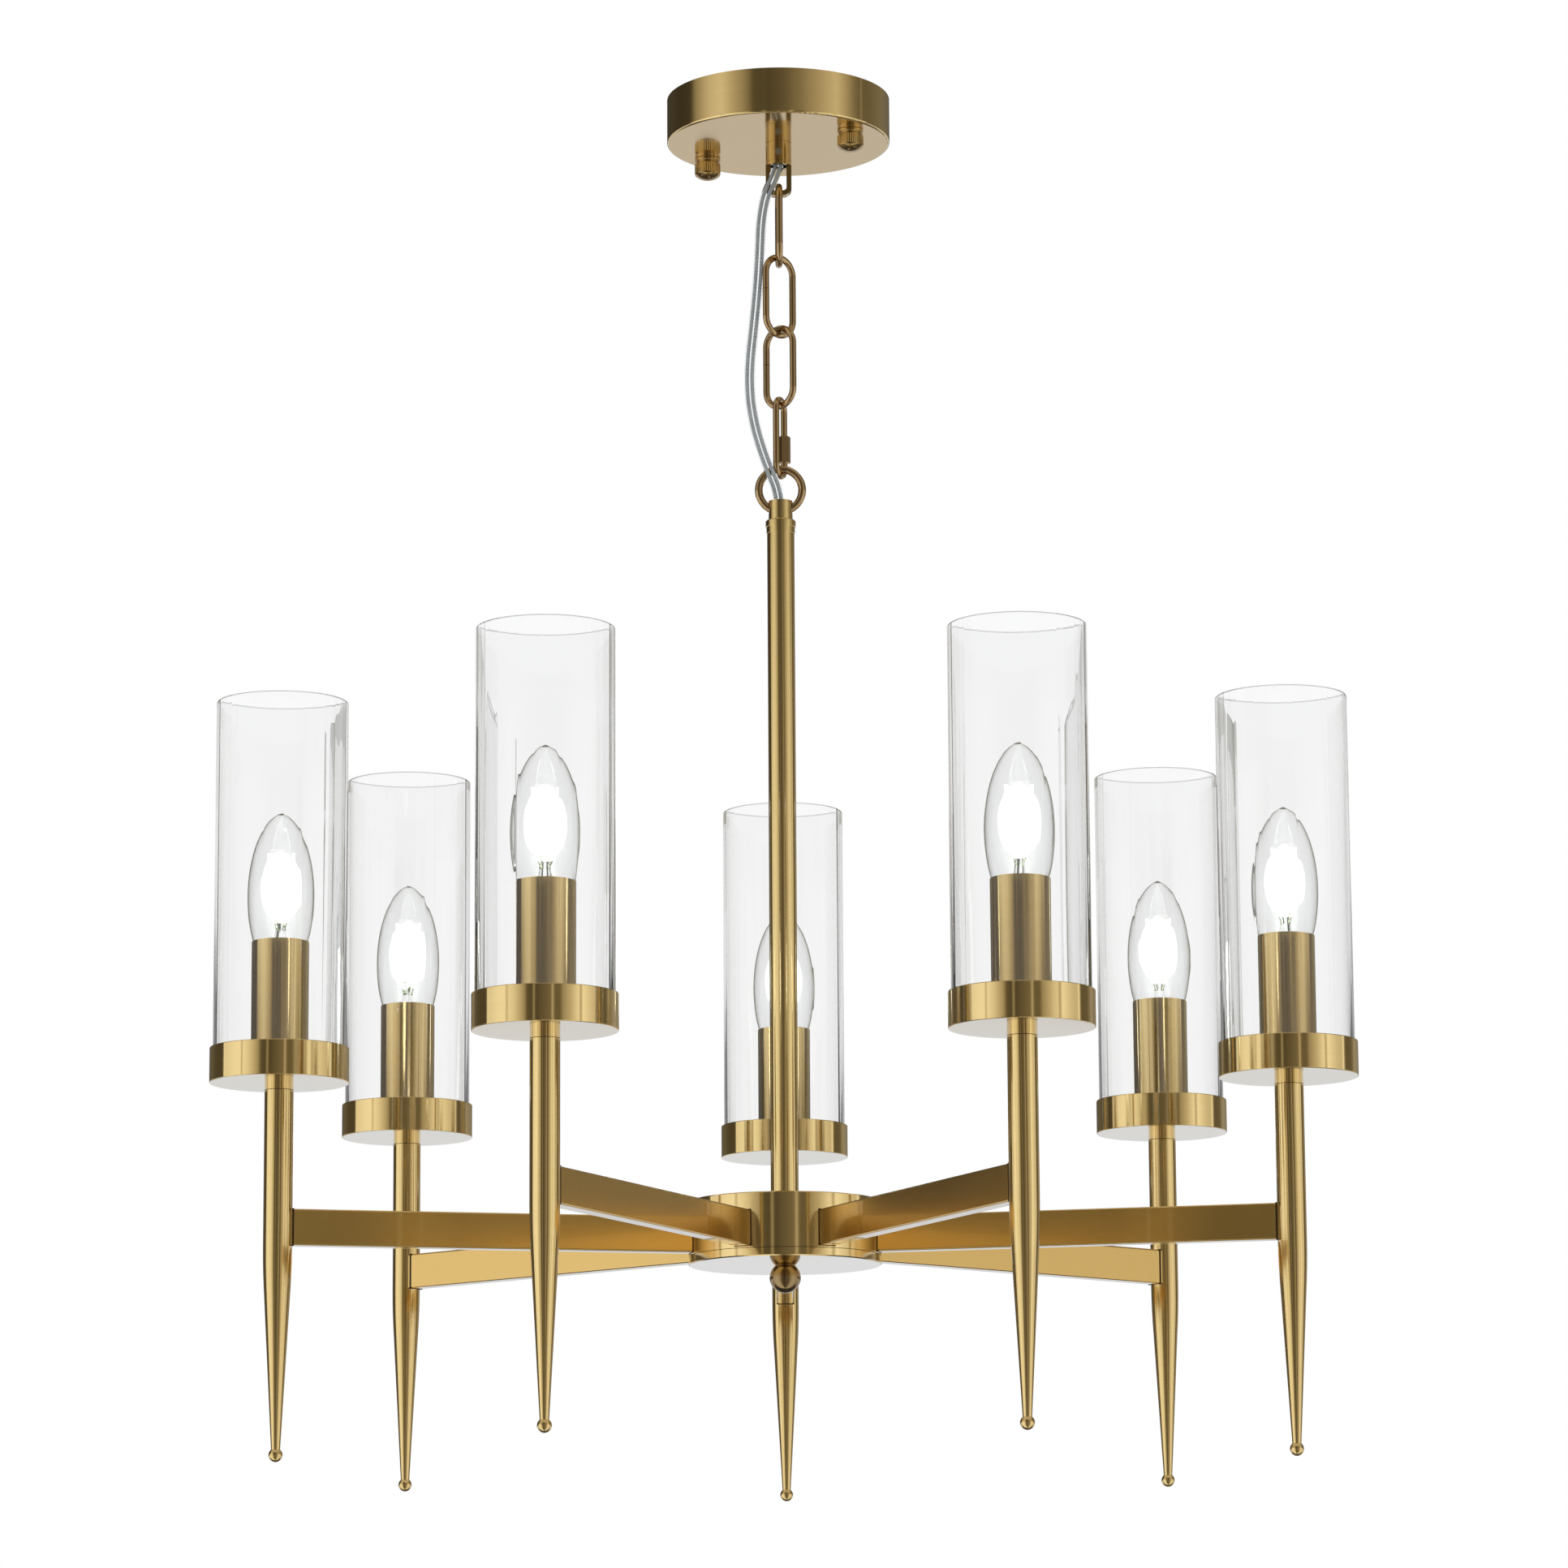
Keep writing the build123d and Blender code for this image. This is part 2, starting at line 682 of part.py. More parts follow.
for number in range(1, arm_count + 1):
    write(make_arm(number), f"arm_{number}")
    write(make_post(number), f"post_{number}")
    write(make_cup(number), f"cup_{number}")
    write(make_glass(number), f"glass_{number}")
    write(make_lamp(number), f"bulb_{number}")

# ---------------------------------------------------------------- groups, one solid at each arm

with BuildPart() as candle_sleeves:
    for number in range(1, arm_count + 1):
        place = post_place(number)
        outer = sleeve_dia / 2
        inner = outer - sleeve_wall
        revolve(section(place, (inner, cup_seat), (outer, cup_seat), (outer, sleeve_top),
                        (inner, sleeve_top)), axis=axis_of(place))
write(candle_sleeves, "candle_sleeves")

with BuildPart() as lamp_holders:
    for number in range(1, arm_count + 1):
        place = post_place(number)
        outer, bore, spigot, lead = holder_dia / 2, holder_bore / 2, nipple_dia / 2, arm_lead_dia / 2
        bore_foot = holder_top - holder_bore_depth
        spigot_foot = cup_seat - spigot_length
        revolve(section(
            place, (lead, spigot_foot), (spigot, spigot_foot), (spigot, cup_seat),
            (outer, cup_seat), (outer, holder_top), (bore, holder_top), (bore, bore_foot),
            (lead, bore_foot)), axis=axis_of(place))
write(lamp_holders, "lamp_holders")

with BuildPart() as internal_leads:
    with BuildSketch(Plane.XY.offset(arm_middle - junction_height / 2)):
        Circle(junction_dia / 2)
        Circle(nipple_dia / 2, mode=Mode.SUBTRACT)
    extrude(amount=junction_height)
    with BuildSketch(Plane.XY.offset(stem_top - stem_spigot_length)):
        Circle(lead_dia / 2)
    extrude(amount=arm_middle - stem_top + stem_spigot_length)
    for number in range(1, arm_count + 1):
        lead_end = cup_seat - spigot_length
        with BuildLine(upright(arm_angle(number))) as arm_lead_path:
            FilletPolyline((junction_dia / 2, arm_middle), (arm_circle_radius, arm_middle),
                           (arm_circle_radius, lead_end), radius=arm_lead_dia)
        with BuildSketch(across(arm_lead_path.wire())):
            Circle(arm_lead_dia / 2)
        sweep(path=arm_lead_path.wire())
write(internal_leads, "internal_leads")
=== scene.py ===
import bmesh
import bpy
import math
from mathutils import Matrix, Vector


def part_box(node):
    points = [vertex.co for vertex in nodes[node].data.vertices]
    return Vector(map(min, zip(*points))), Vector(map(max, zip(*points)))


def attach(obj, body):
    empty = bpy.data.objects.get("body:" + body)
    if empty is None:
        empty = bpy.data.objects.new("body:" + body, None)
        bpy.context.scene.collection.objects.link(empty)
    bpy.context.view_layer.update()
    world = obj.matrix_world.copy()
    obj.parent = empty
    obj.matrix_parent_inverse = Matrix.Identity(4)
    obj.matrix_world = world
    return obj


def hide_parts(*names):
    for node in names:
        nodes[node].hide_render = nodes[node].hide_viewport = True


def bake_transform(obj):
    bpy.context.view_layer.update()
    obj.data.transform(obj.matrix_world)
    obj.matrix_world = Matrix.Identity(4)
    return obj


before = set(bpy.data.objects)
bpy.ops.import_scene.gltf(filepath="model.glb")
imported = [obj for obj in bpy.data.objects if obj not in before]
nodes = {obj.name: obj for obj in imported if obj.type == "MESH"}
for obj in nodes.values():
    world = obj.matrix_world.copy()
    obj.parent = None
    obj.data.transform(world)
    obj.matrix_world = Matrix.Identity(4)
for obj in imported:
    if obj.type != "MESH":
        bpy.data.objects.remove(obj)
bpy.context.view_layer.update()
numbers = range(1, 8)
print("frame loaded:", len(nodes), "nodes")


# small helpers for sizes and places, all in metres

def mm(value):
    return value / 1000


def low(node):
    return Vector(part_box(node)[0])


def high(node):
    return Vector(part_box(node)[1])


def middle(node):
    return (low(node) + high(node)) / 2


def span(node, along):
    return (high(node) - low(node))[along]


# node trees: one call makes a node, sets its values and joins its inputs

def addNode(tree, kind, links=None, **values):
    node = tree.nodes.new(kind)
    for key, value in values.items():
        setattr(node, key, value)
    for socket, source in (links or {}).items():
        target = node.inputs[socket]
        if isinstance(source, bpy.types.NodeSocket):
            tree.links.new(source, target)
        else:
            target.default_value = source
    return node


def calc(tree, operation, first, second=0.0, third=0.0, clamp=False):
    node = addNode(tree, "ShaderNodeMath", operation=operation, use_clamp=clamp,
                   links={0: first, 1: second, 2: third})
    return node.outputs[0]


def vectorCalc(tree, operation, first, second=(0, 0, 0)):
    socket = "Scale" if operation == "SCALE" else 1
    node = addNode(tree, "ShaderNodeVectorMath", operation=operation,
                   links={0: first, socket: second})
    return node.outputs["Value" if operation in ("LENGTH", "DOT_PRODUCT") else 0]


def addSocket(tree, name, kind, value=None, output=False):
    socket = tree.interface.new_socket(
        name=name, in_out="OUTPUT" if output else "INPUT", socket_type="NodeSocket" + kind)
    if value is not None:
        socket.default_value = value
    return socket


def newGroup(name, inputs, outputs):
    tree = bpy.data.node_groups.new(name, "ShaderNodeTree")
    for label, kind, value in inputs:
        addSocket(tree, label, kind, value)
    for label, kind in outputs:
        addSocket(tree, label, kind, output=True)
    return tree, tree.nodes.new("NodeGroupInput"), tree.nodes.new("NodeGroupOutput")


# brush grain: fine scratches that run round a turned piece, or across an arm

brush = {"along": 26.0, "lines": 3600.0, "rings": 3000.0, "rise": 55.0, "slow": 0.21}


def makeBrushGroup():
    tree, given, result = newGroup(
        "brushGrain",
        [("Vector", "Vector", None), ("Fineness", "Float", 1.0), ("Across", "Float", 0.0)],
        [("Height", "Float"), ("Tone", "Float")])
    parts = addNode(tree, "ShaderNodeSeparateXYZ", links={0: given.outputs["Vector"]})
    flat = addNode(tree, "ShaderNodeCombineXYZ",
                   links={0: parts.outputs[0], 1: parts.outputs[1], 2: 0.0}).outputs[0]
    reach = vectorCalc(tree, "LENGTH", flat)                       # distance from the stem
    lengthways = addNode(tree, "ShaderNodeCombineXYZ", links={
        0: calc(tree, "MULTIPLY", parts.outputs[0], brush["along"]),
        1: calc(tree, "MULTIPLY", parts.outputs[1], brush["along"]),
        2: calc(tree, "MULTIPLY", parts.outputs[2], brush["lines"])}).outputs[0]
    crossways = addNode(tree, "ShaderNodeCombineXYZ", links={
        0: calc(tree, "MULTIPLY", reach, brush["rings"]),
        1: calc(tree, "MULTIPLY", parts.outputs[2], brush["rise"]), 2: 0.0}).outputs[0]
    chosen = addNode(tree, "ShaderNodeMix", data_type="VECTOR", links={
        0: given.outputs["Across"], 4: lengthways, 5: crossways}).outputs[1]
    scaled = vectorCalc(tree, "SCALE", chosen, given.outputs["Fineness"])
    fine = addNode(tree, "ShaderNodeTexNoise", links={
        "Vector": scaled, "Scale": 1.0, "Detail": 3.0, "Roughness": 0.6}).outputs[0]
    slow = addNode(tree, "ShaderNodeTexNoise", links={
        "Vector": scaled, "Scale": brush["slow"], "Detail": 2.0, "Roughness": 0.5}).outputs[0]
    height = calc(tree, "MULTIPLY_ADD", slow, 0.5, calc(tree, "MULTIPLY", fine, 0.5))
    tree.links.new(height, result.inputs["Height"])
    tree.links.new(calc(tree, "MULTIPLY_ADD", fine, 0.4, calc(tree, "MULTIPLY", slow, 0.6)),
                   result.inputs["Tone"])
    return tree


# handling: soft clouds where fingers and cloths have dulled the lacquer

def makeHandlingGroup():
    tree, given, result = newGroup(
        "handling", [("Vector", "Vector", None), ("Size", "Float", 18.0)],
        [("Cloud", "Float"), ("Specks", "Float")])
    cloud = addNode(tree, "ShaderNodeTexNoise", links={
        "Vector": given.outputs["Vector"], "Scale": given.outputs["Size"],
        "Detail": 4.0, "Roughness": 0.55, "Distortion": 0.3}).outputs[0]
    grains = addNode(tree, "ShaderNodeTexNoise", links={
        "Vector": given.outputs["Vector"], "Scale": 900.0, "Detail": 2.0}).outputs[0]
    specks = addNode(tree, "ShaderNodeMapRange", links={
        0: grains, 1: 0.66, 2: 0.78, 3: 0.0, 4: 1.0}).outputs[0]
    tree.links.new(cloud, result.inputs["Cloud"])
    tree.links.new(specks, result.inputs["Specks"])
    return tree


brushGrain = makeBrushGroup()
handling = makeHandlingGroup()


def newMaterial(name):
    material = bpy.data.materials.new(name)
    material.use_nodes = True
    tree = material.node_tree
    tree.nodes.clear()
    surface = tree.nodes.new("ShaderNodeBsdfPrincipled")
    output = tree.nodes.new("ShaderNodeOutputMaterial")
    tree.links.new(surface.outputs[0], output.inputs["Surface"])
    return material, tree, surface


def place(tree):
    return tree.nodes.new("ShaderNodeTexCoord").outputs["Object"]


brass = {
    "light": (0.90, 0.69, 0.34, 1), "dark": (0.80, 0.59, 0.25, 1),
    "roughness": 0.12, "stretch": 0.6, "lacquer": 0.03, "scratchDepth": mm(0.0006),
}


def makeBrass(name, light, dark, roughness, across=0.0, fineness=1.0, stretch=0.0, scratch=1.0,
              coat=1.0):
    material, tree, surface = newMaterial(name)
    here = place(tree)
    grain = addNode(tree, "ShaderNodeGroup", node_tree=brushGrain, links={
        "Vector": here, "Fineness": fineness, "Across": across})
    wear = addNode(tree, "ShaderNodeGroup", node_tree=handling, links={"Vector": here, "Size": 16.0})
    tone = addNode(tree, "ShaderNodeMix", data_type="RGBA", links={
        0: calc(tree, "MULTIPLY_ADD", grain.outputs["Tone"], 0.75,
                calc(tree, "MULTIPLY", wear.outputs["Cloud"], 0.25)),
        6: dark, 7: light})
    tree.links.new(tone.outputs[2], surface.inputs["Base Color"])
    matte = calc(tree, "MULTIPLY_ADD", wear.outputs["Cloud"], 0.04, roughness - 0.03)
    tree.links.new(calc(tree, "MULTIPLY_ADD", grain.outputs["Tone"], 0.03, matte),
                   surface.inputs["Roughness"])
    surface.inputs["Metallic"].default_value = 1.0
    surface.inputs["Coat Weight"].default_value = coat
    surface.inputs["Coat Roughness"].default_value = brass["lacquer"]
    surface.inputs["Anisotropic"].default_value = stretch
    if stretch:
        # reflections stretch up and down, square to the scratches
        normal = tree.nodes.new("ShaderNodeNewGeometry").outputs["Normal"]
        level = vectorCalc(tree, "CROSS_PRODUCT", normal, (0.0, 0.0, 1.0))
        level = vectorCalc(tree, "ADD", level, (0.004, 0.0, 0.0))      # for level faces
        upright = vectorCalc(tree, "CROSS_PRODUCT", level, normal)
        tree.links.new(vectorCalc(tree, "NORMALIZE", upright), surface.inputs["Tangent"])
    bump = addNode(tree, "ShaderNodeBump", links={
        "Height": grain.outputs["Height"], "Strength": 1.0,
        "Distance": brass["scratchDepth"] * scratch})
    tree.links.new(bump.outputs[0], surface.inputs["Normal"])
    return material


turnedBrass = makeBrass("turnedBrass", brass["light"], brass["dark"], brass["roughness"],
                        stretch=brass["stretch"])
armBrass = makeBrass("armBrass", (0.84, 0.57, 0.20, 1), (0.77, 0.51, 0.16, 1), 0.24, across=1.0,
                     scratch=0.35)
wireBrass = makeBrass("wireBrass", (0.56, 0.39, 0.22, 1), (0.47, 0.32, 0.17, 1), 0.1,
                      fineness=0.5, scratch=0.05, coat=0.6)
capBrass = makeBrass("capBrass", (0.55, 0.39, 0.17, 1), (0.45, 0.31, 0.12, 1), 0.16, scratch=0.3,
                     coat=0.4)
finialBrass = makeBrass("finialBrass", (0.40, 0.29, 0.15, 1), (0.33, 0.23, 0.12, 1), 0.14,
                        scratch=0.3, coat=0.3)
print("brass finishes made")


def wornMaterial(name, light, dark, size):
    # its colour drifts between two tones, as the handling group's clouds do
    material, tree, surface = newMaterial(name)
    wear = addNode(tree, "ShaderNodeGroup", node_tree=handling,
                   links={"Vector": place(tree), "Size": size})
    tone = addNode(tree, "ShaderNodeMix", data_type="RGBA",
                   links={0: wear.outputs["Cloud"], 6: dark, 7: light}).outputs[2]
    tree.links.new(tone, surface.inputs["Base Color"])
    return material, tree, surface, wear.outputs


def makeMetal(name, light, dark, roughness):
    material, tree, surface, wear = wornMaterial(name, light, dark, 60.0)
    tree.links.new(calc(tree, "MULTIPLY_ADD", wear["Cloud"], 0.15, roughness),
                   surface.inputs["Roughness"])
    surface.inputs["Metallic"].default_value = 1.0
    return material


def makePlastic(name, light, dark, roughness):
    material, tree, surface, wear = wornMaterial(name, light, dark, 120.0)
    tree.links.new(calc(tree, "MULTIPLY_ADD", wear["Specks"], 0.12, roughness),
                   surface.inputs["Roughness"])
    bump = addNode(tree, "ShaderNodeBump", links={
        "Height": wear["Cloud"], "Strength": 0.3, "Distance": mm(0.05)})
    tree.links.new(bump.outputs[0], surface.inputs["Normal"])
    return material


zincSteel = makeMetal("zincSteel", (0.62, 0.62, 0.6, 1), (0.45, 0.45, 0.44, 1), 0.3)
brightSteel = makeMetal("brightSteel", (0.82, 0.82, 0.82, 1), (0.66, 0.66, 0.67, 1), 0.15)
jointDark = makeMetal("jointDark", (0.12, 0.08, 0.04, 1), (0.06, 0.04, 0.02, 1), 0.5)
blockPlastic = makePlastic("blockPlastic", (0.8, 0.8, 0.77, 1), (0.74, 0.74, 0.71, 1), 0.45)
holderPlastic = makePlastic("holderPlastic", (0.75, 0.73, 0.66, 1), (0.68, 0.66, 0.6, 1), 0.5)
leadPlastic = makePlastic("leadPlastic", (0.7, 0.7, 0.68, 1), (0.62, 0.62, 0.6, 1), 0.35)


def makeClear(name, tint, roughness, ior, ripple=0.0, size=40.0):
    dark = [c * 0.985 for c in tint[:3]] + [1]
    material, tree, surface, wear = wornMaterial(name, tint, dark, size)
    tree.links.new(calc(tree, "MULTIPLY_ADD", wear["Specks"], 0.02, roughness),
                   surface.inputs["Roughness"])
    surface.inputs["IOR"].default_value = ior
    surface.inputs["Transmission Weight"].default_value = 1.0
    if ripple:
        bump = addNode(tree, "ShaderNodeBump", links={
            "Height": wear["Cloud"], "Strength": 1.0, "Distance": ripple})
        tree.links.new(bump.outputs[0], surface.inputs["Normal"])
    return material


clearGlass = makeClear("clearGlass", (0.965, 0.968, 0.968, 1), 0.0, 1.38)
envelopeGlass = makeClear("envelopeGlass", (0.985, 0.99, 0.99, 1), 0.0, 1.3)
clearJacket = makeClear("clearJacket", (0.90, 0.92, 0.92, 1), 0.2, 1.12, mm(0.05), 160.0)
tinnedWire = makePlastic("tinnedWire", (0.66, 0.69, 0.70, 1), (0.44, 0.46, 0.47, 1), 0.3)
mountWire = makeMetal("mountWire", (0.72, 0.82, 0.62, 1), (0.50, 0.60, 0.42, 1), 0.3)


def makeGlow(name, colour, strength, alpha=1.0):
    dark = [c * 0.9 for c in colour[:3]] + [1]
    material, tree, surface, wear = wornMaterial(name, colour, dark, 260.0)
    tone = surface.inputs["Base Color"].links[0].from_socket
    tree.links.new(tone, surface.inputs["Emission Color"])
    surface.inputs["Emission Strength"].default_value = strength
    surface.inputs["Roughness"].default_value = 0.5
    surface.inputs["Alpha"].default_value = alpha
    return material


filamentGlow = makeGlow("filamentGlow", (1.0, 0.99, 0.93, 1), 5.0)
glowCore = makeGlow("glowCore", (1.0, 1.0, 0.98, 1), 1.4, 0.75)
glowHalo = makeGlow("glowHalo", (0.93, 1.0, 0.96, 1), 0.9, 0.3)
print("other finishes made")


# every CAD node gets its finish

finishes = {
    turnedBrass: ["canopy", "stem_cap", "stem_tube", "hub_body", "hub_cover",
                  "candle_sleeves"] + [f"{kind}_{n}" for n in numbers for kind in ("post", "cup")],
    armBrass: [f"arm_{n}" for n in numbers],
    wireBrass: ["chain_link_1", "chain_link_2", "chain_link_3", "quick_link", "quick_link_nut",
                "stem_ring"],
    capBrass: ["cap_nut_left", "cap_nut_right", "chain_grip"],
    finialBrass: ["finial"],
    zincSteel: ["mounting_bracket", "bracket_studs", "canopy_nipple", "hub_nipple"],
    brightSteel: ["grip_set_screw"],
    blockPlastic: ["terminal_block"],
    holderPlastic: ["lamp_holders"],
    leadPlastic: ["internal_leads"],
    clearJacket: ["power_cord"],
    clearGlass: [f"glass_{n}" for n in numbers] + [f"bulb_{n}" for n in numbers],
}
for finish, names in finishes.items():
    for name in names:
        nodes[name].data.materials.clear()
        nodes[name].data.materials.append(finish)
assert sorted(n for names in finishes.values() for n in names) == sorted(nodes)
print("finishes set on every node")


# mesh helpers

def finished(obj, material, angle):
    obj.data.materials.clear()
    obj.data.materials.append(material)
    for face in obj.data.polygons:
        face.use_smooth = True
    obj.data.set_sharp_from_angle(angle=math.radians(angle))
    return obj


def meshObject(name, mesh):
    obj = bpy.data.objects.new(name, mesh)
    bpy.context.scene.collection.objects.link(obj)
    return obj


def formed(name, form, material, angle=35):
    bmesh.ops.recalc_face_normals(form, faces=form.faces)
    mesh = bpy.data.meshes.new(name)
    form.to_mesh(mesh)
    form.free()
    return finished(meshObject(name, mesh), material, angle)


def turned(name, outline, centre, material, steps=64, closed=False):
    # spins (radius, height) points about an upright axis through centre
    form = bmesh.new()
    rings = []
    for radius, height in outline:
        if radius < 1e-7:
            rings.append([form.verts.new((centre.x, centre.y, height))])
            continue
        turn = [2 * math.pi * step / steps for step in range(steps)]
        rings.append([form.verts.new((centre.x + radius * math.cos(a), centre.y + radius * math.sin(a),
                                      height)) for a in turn])
    pairs = list(zip(rings, rings[1:] + rings[:1])) if closed else list(zip(rings, rings[1:]))
    for lower, upper in pairs:
        for step in range(steps):
            after = (step + 1) % steps
            corners = [lower[step % len(lower)], lower[after % len(lower)],
                       upper[after % len(upper)], upper[step % len(upper)]]
            unique = list(dict.fromkeys(corners))
            if len(unique) > 2:
                form.faces.new(unique)
    return formed(name, form, material)


def arcPoints(centre, radius, start, end, count):
    turns = [math.radians(start + (end - start) * i / count) for i in range(count + 1)]
    return [(centre[0] + radius * math.cos(t), centre[1] + radius * math.sin(t)) for t in turns]


# geometry nodes: a tree with named inputs becomes a plain mesh

def newGeometryTree(name, inputs):
    tree = bpy.data.node_groups.new(name, "GeometryNodeTree")
    addSocket(tree, "Geometry", "Geometry", output=True)
    addSocket(tree, "Geometry", "Geometry")
    for label, kind, value in inputs:
        addSocket(tree, label, kind, value)
    addSocket(tree, "Material", "Material")
    given, result = tree.nodes.new("NodeGroupInput"), tree.nodes.new("NodeGroupOutput")
    return tree, given.outputs, result


def endGeometryTree(tree, shape, given, result):
    real = addNode(tree, "GeometryNodeRealizeInstances", links={0: shape})
    smooth = addNode(tree, "GeometryNodeSetShadeSmooth", links={0: real.outputs[0]})
    painted = addNode(tree, "GeometryNodeSetMaterial",
                      links={0: smooth.outputs[0], "Material": given["Material"]})
    tree.links.new(painted.outputs[0], result.inputs[0])


def grown(name, tree, material, base=None, **values):
    # runs a geometry tree on a base mesh and keeps its result as a plain mesh
    seed = meshObject(name + "Seed", base or bpy.data.meshes.new(name + "Seed"))
    modifier = seed.modifiers.new(tree.name, "NODES")
    modifier.node_group = tree
    sockets = {item.name: item.identifier for item in tree.interface.items_tree
               if item.in_out == "INPUT"}
    for label, value in values.items():
        modifier[sockets[label]] = value
    modifier[sockets["Material"]] = material
    view = bpy.context.evaluated_depsgraph_get()
    mesh = bpy.data.meshes.new_from_object(seed.evaluated_get(view))
    mesh.name = name
    bpy.data.objects.remove(seed)
    obj = meshObject(name, mesh)
    if not obj.data.materials:
        obj.data.materials.append(material)
    obj.data.set_sharp_from_angle(angle=math.radians(40))
    return obj


# the camera stands in front and below, and looks a little upwards

camera = {"distance": 3.3099, "aside": 0.001, "height": -1.0266, "tiltUp": 10.657, "roll": 0.35,
          "lens": 136.04}


def makeCamera():
    data = bpy.data.cameras.new("camera")
    data.lens, data.sensor_width = camera["lens"], 36
    data.clip_end = 100
    obj = bpy.data.objects.new("camera", data)
    bpy.context.scene.collection.objects.link(obj)
    tilt = Matrix.Rotation(math.radians(90 + camera["tiltUp"]), 4, "X")
    roll = Matrix.Rotation(math.radians(-camera["roll"]), 4, "Z")
    obj.matrix_world = (Matrix.Translation((camera["aside"], -camera["distance"], camera["height"]))
                        @ tilt @ roll)
    bpy.context.scene.camera = obj


makeCamera()
bpy.context.scene.view_settings.view_transform = "Standard"
print("camera placed")


# the flex: a clear flat twin with two stranded wires, from the grip down into the stem cap

flex = {
    "width": mm(6.2), "thickness": mm(3), "wireApart": mm(2.8), "wireTurns": 18,
    "strands": 12, "strandRing": mm(0.9), "strandWidth": mm(0.45), "edgeSteps": 8, "groove": 0.86,
    "route": [
        (-0.1, -2.1, -39.5), (-2.2, -5.6, -47.0), (-7.4, -6.9, -58.0), (-10.4, -5.8, -73.5),
        (-11.2, -4.2, -93.0), (-12.6, -3.6, -114.0), (-14.8, -3.2, -136.0), (-17.3, -3.2, -158.0),
        (-17.4, -3.8, -177.0), (-14.8, -4.9, -194.5), (-10.4, -6.4, -210.5), (-5.5, -6.6, -224.0),
        (-1.6, -3.5, -233.2), (-0.7, -2.5, -241.1),
    ],
}


def routeLine():
    curve = bpy.data.curves.new("flexRoute", "CURVE")
    curve.dimensions = "3D"
    curve.resolution_u = 10
    spline = curve.splines.new("NURBS")
    spline.points.add(len(flex["route"]) - 1)
    for point, spot in zip(spline.points, flex["route"]):
        point.co = (*[mm(v) for v in spot], 1)
    spline.order_u = 3
    spline.use_endpoint_u = True
    obj = bpy.data.objects.new("flexRoute", curve)
    bpy.context.scene.collection.objects.link(obj)
    view = bpy.context.evaluated_depsgraph_get()
    mesh = bpy.data.meshes.new_from_object(obj.evaluated_get(view))
    line = [vertex.co.copy() for vertex in mesh.vertices]
    bpy.data.objects.remove(obj)
    return line


def frames(line):
    # at each point of the line: the point, the flex's wide way and its thin way
    result = []
    for i, point in enumerate(line):
        along = (line[min(i + 1, len(line) - 1)] - line[max(i - 1, 0)]).normalized()
        wide = (Vector((1, 0, 0)) - along * along.x).normalized()
        result.append((point, wide, along.cross(wide)))
    return result


def makeFlex():
    line = routeLine()
    edge, steps = flex["thickness"] / 2, flex["edgeSteps"]
    half, groove = flex["width"] / 2 - edge, edge * flex["groove"]
    outline = arcPoints((half, 0), edge, -90, 90, steps) + arcPoints((-half, 0), edge, 90, 270, steps)
    # a shallow groove along the middle of each flat side
    outline.insert(steps + 1, (0, groove))
    outline.append((0, -groove))
    form = bmesh.new()
    rings = [[form.verts.new(point + wide * x + thin * y) for x, y in outline]
             for point, wide, thin in frames(line)]
    for near, far in zip(rings, rings[1:]):
        for i in range(len(outline)):
            after = (i + 1) % len(outline)
            form.faces.new((near[i], near[after], far[after], far[i]))
    form.faces.new(rings[0])
    form.faces.new(rings[-1])
    return formed("flexJacket", form, clearJacket, 50), line


def makeStrandTree():
    tree, given, result = newGeometryTree("twistedStrands", [
        ("Strands", "Int", 9), ("Ring", "Float", 0.0004), ("Width", "Float", 0.0003),
        ("Turns", "Float", 20.0)])
    line = addNode(tree, "GeometryNodeMeshToCurve", links={0: given["Geometry"]})
    along = tree.nodes.new("GeometryNodeSplineParameter").outputs["Factor"]
    turn = calc(tree, "MULTIPLY", calc(tree, "MULTIPLY", along, given["Turns"]), 2 * math.pi)
    twisted = addNode(tree, "GeometryNodeSetCurveTilt", links={0: line.outputs[0], "Tilt": turn})
    ring = addNode(tree, "GeometryNodeCurvePrimitiveCircle",
                   links={"Resolution": given["Strands"], "Radius": given["Ring"]})
    corners = addNode(tree, "GeometryNodeCurveToPoints", mode="EVALUATED", links={0: ring.outputs[0]})
    wire = addNode(tree, "GeometryNodeCurvePrimitiveCircle", links={
        "Resolution": 6, "Radius": calc(tree, "MULTIPLY", given["Width"], 0.5)})
    spots = addNode(tree, "GeometryNodeInstanceOnPoints",
                    links={"Points": corners.outputs[0], "Instance": wire.outputs[0]})
    profile = addNode(tree, "GeometryNodeRealizeInstances", links={0: spots.outputs[0]})
    swept = addNode(tree, "GeometryNodeCurveToMesh", links={
        0: twisted.outputs[0], 1: profile.outputs[0], "Fill Caps": True})
    endGeometryTree(tree, swept.outputs[0], given, result)
    return tree


def makeStrands(line):
    tree = makeStrandTree()
    bundles = []
    for side in (-1, 1):
        form = bmesh.new()
        last = None
        for point, wide, thin in frames(line):
            vertex = form.verts.new(point + wide * side * flex["wireApart"] / 2)
            if last:
                form.edges.new((last, vertex))
            last = vertex
        base = bpy.data.meshes.new("wireLine")
        form.to_mesh(base)
        form.free()
        name = "flexWireLeft" if side < 0 else "flexWireRight"
        bundles.append(grown(name, tree, tinnedWire, base, Strands=flex["strands"],
                             Ring=flex["strandRing"], Width=flex["strandWidth"],
                             Turns=float(flex["wireTurns"])))
    return bundles


flexJacket, flexLine = makeFlex()
flexWires = makeStrands(flexLine)
for piece in [flexJacket] + flexWires:
    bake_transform(piece)
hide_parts("power_cord")


# glass cylinders: drawn tube, so its walls have faint upright waves and fire-polished rims

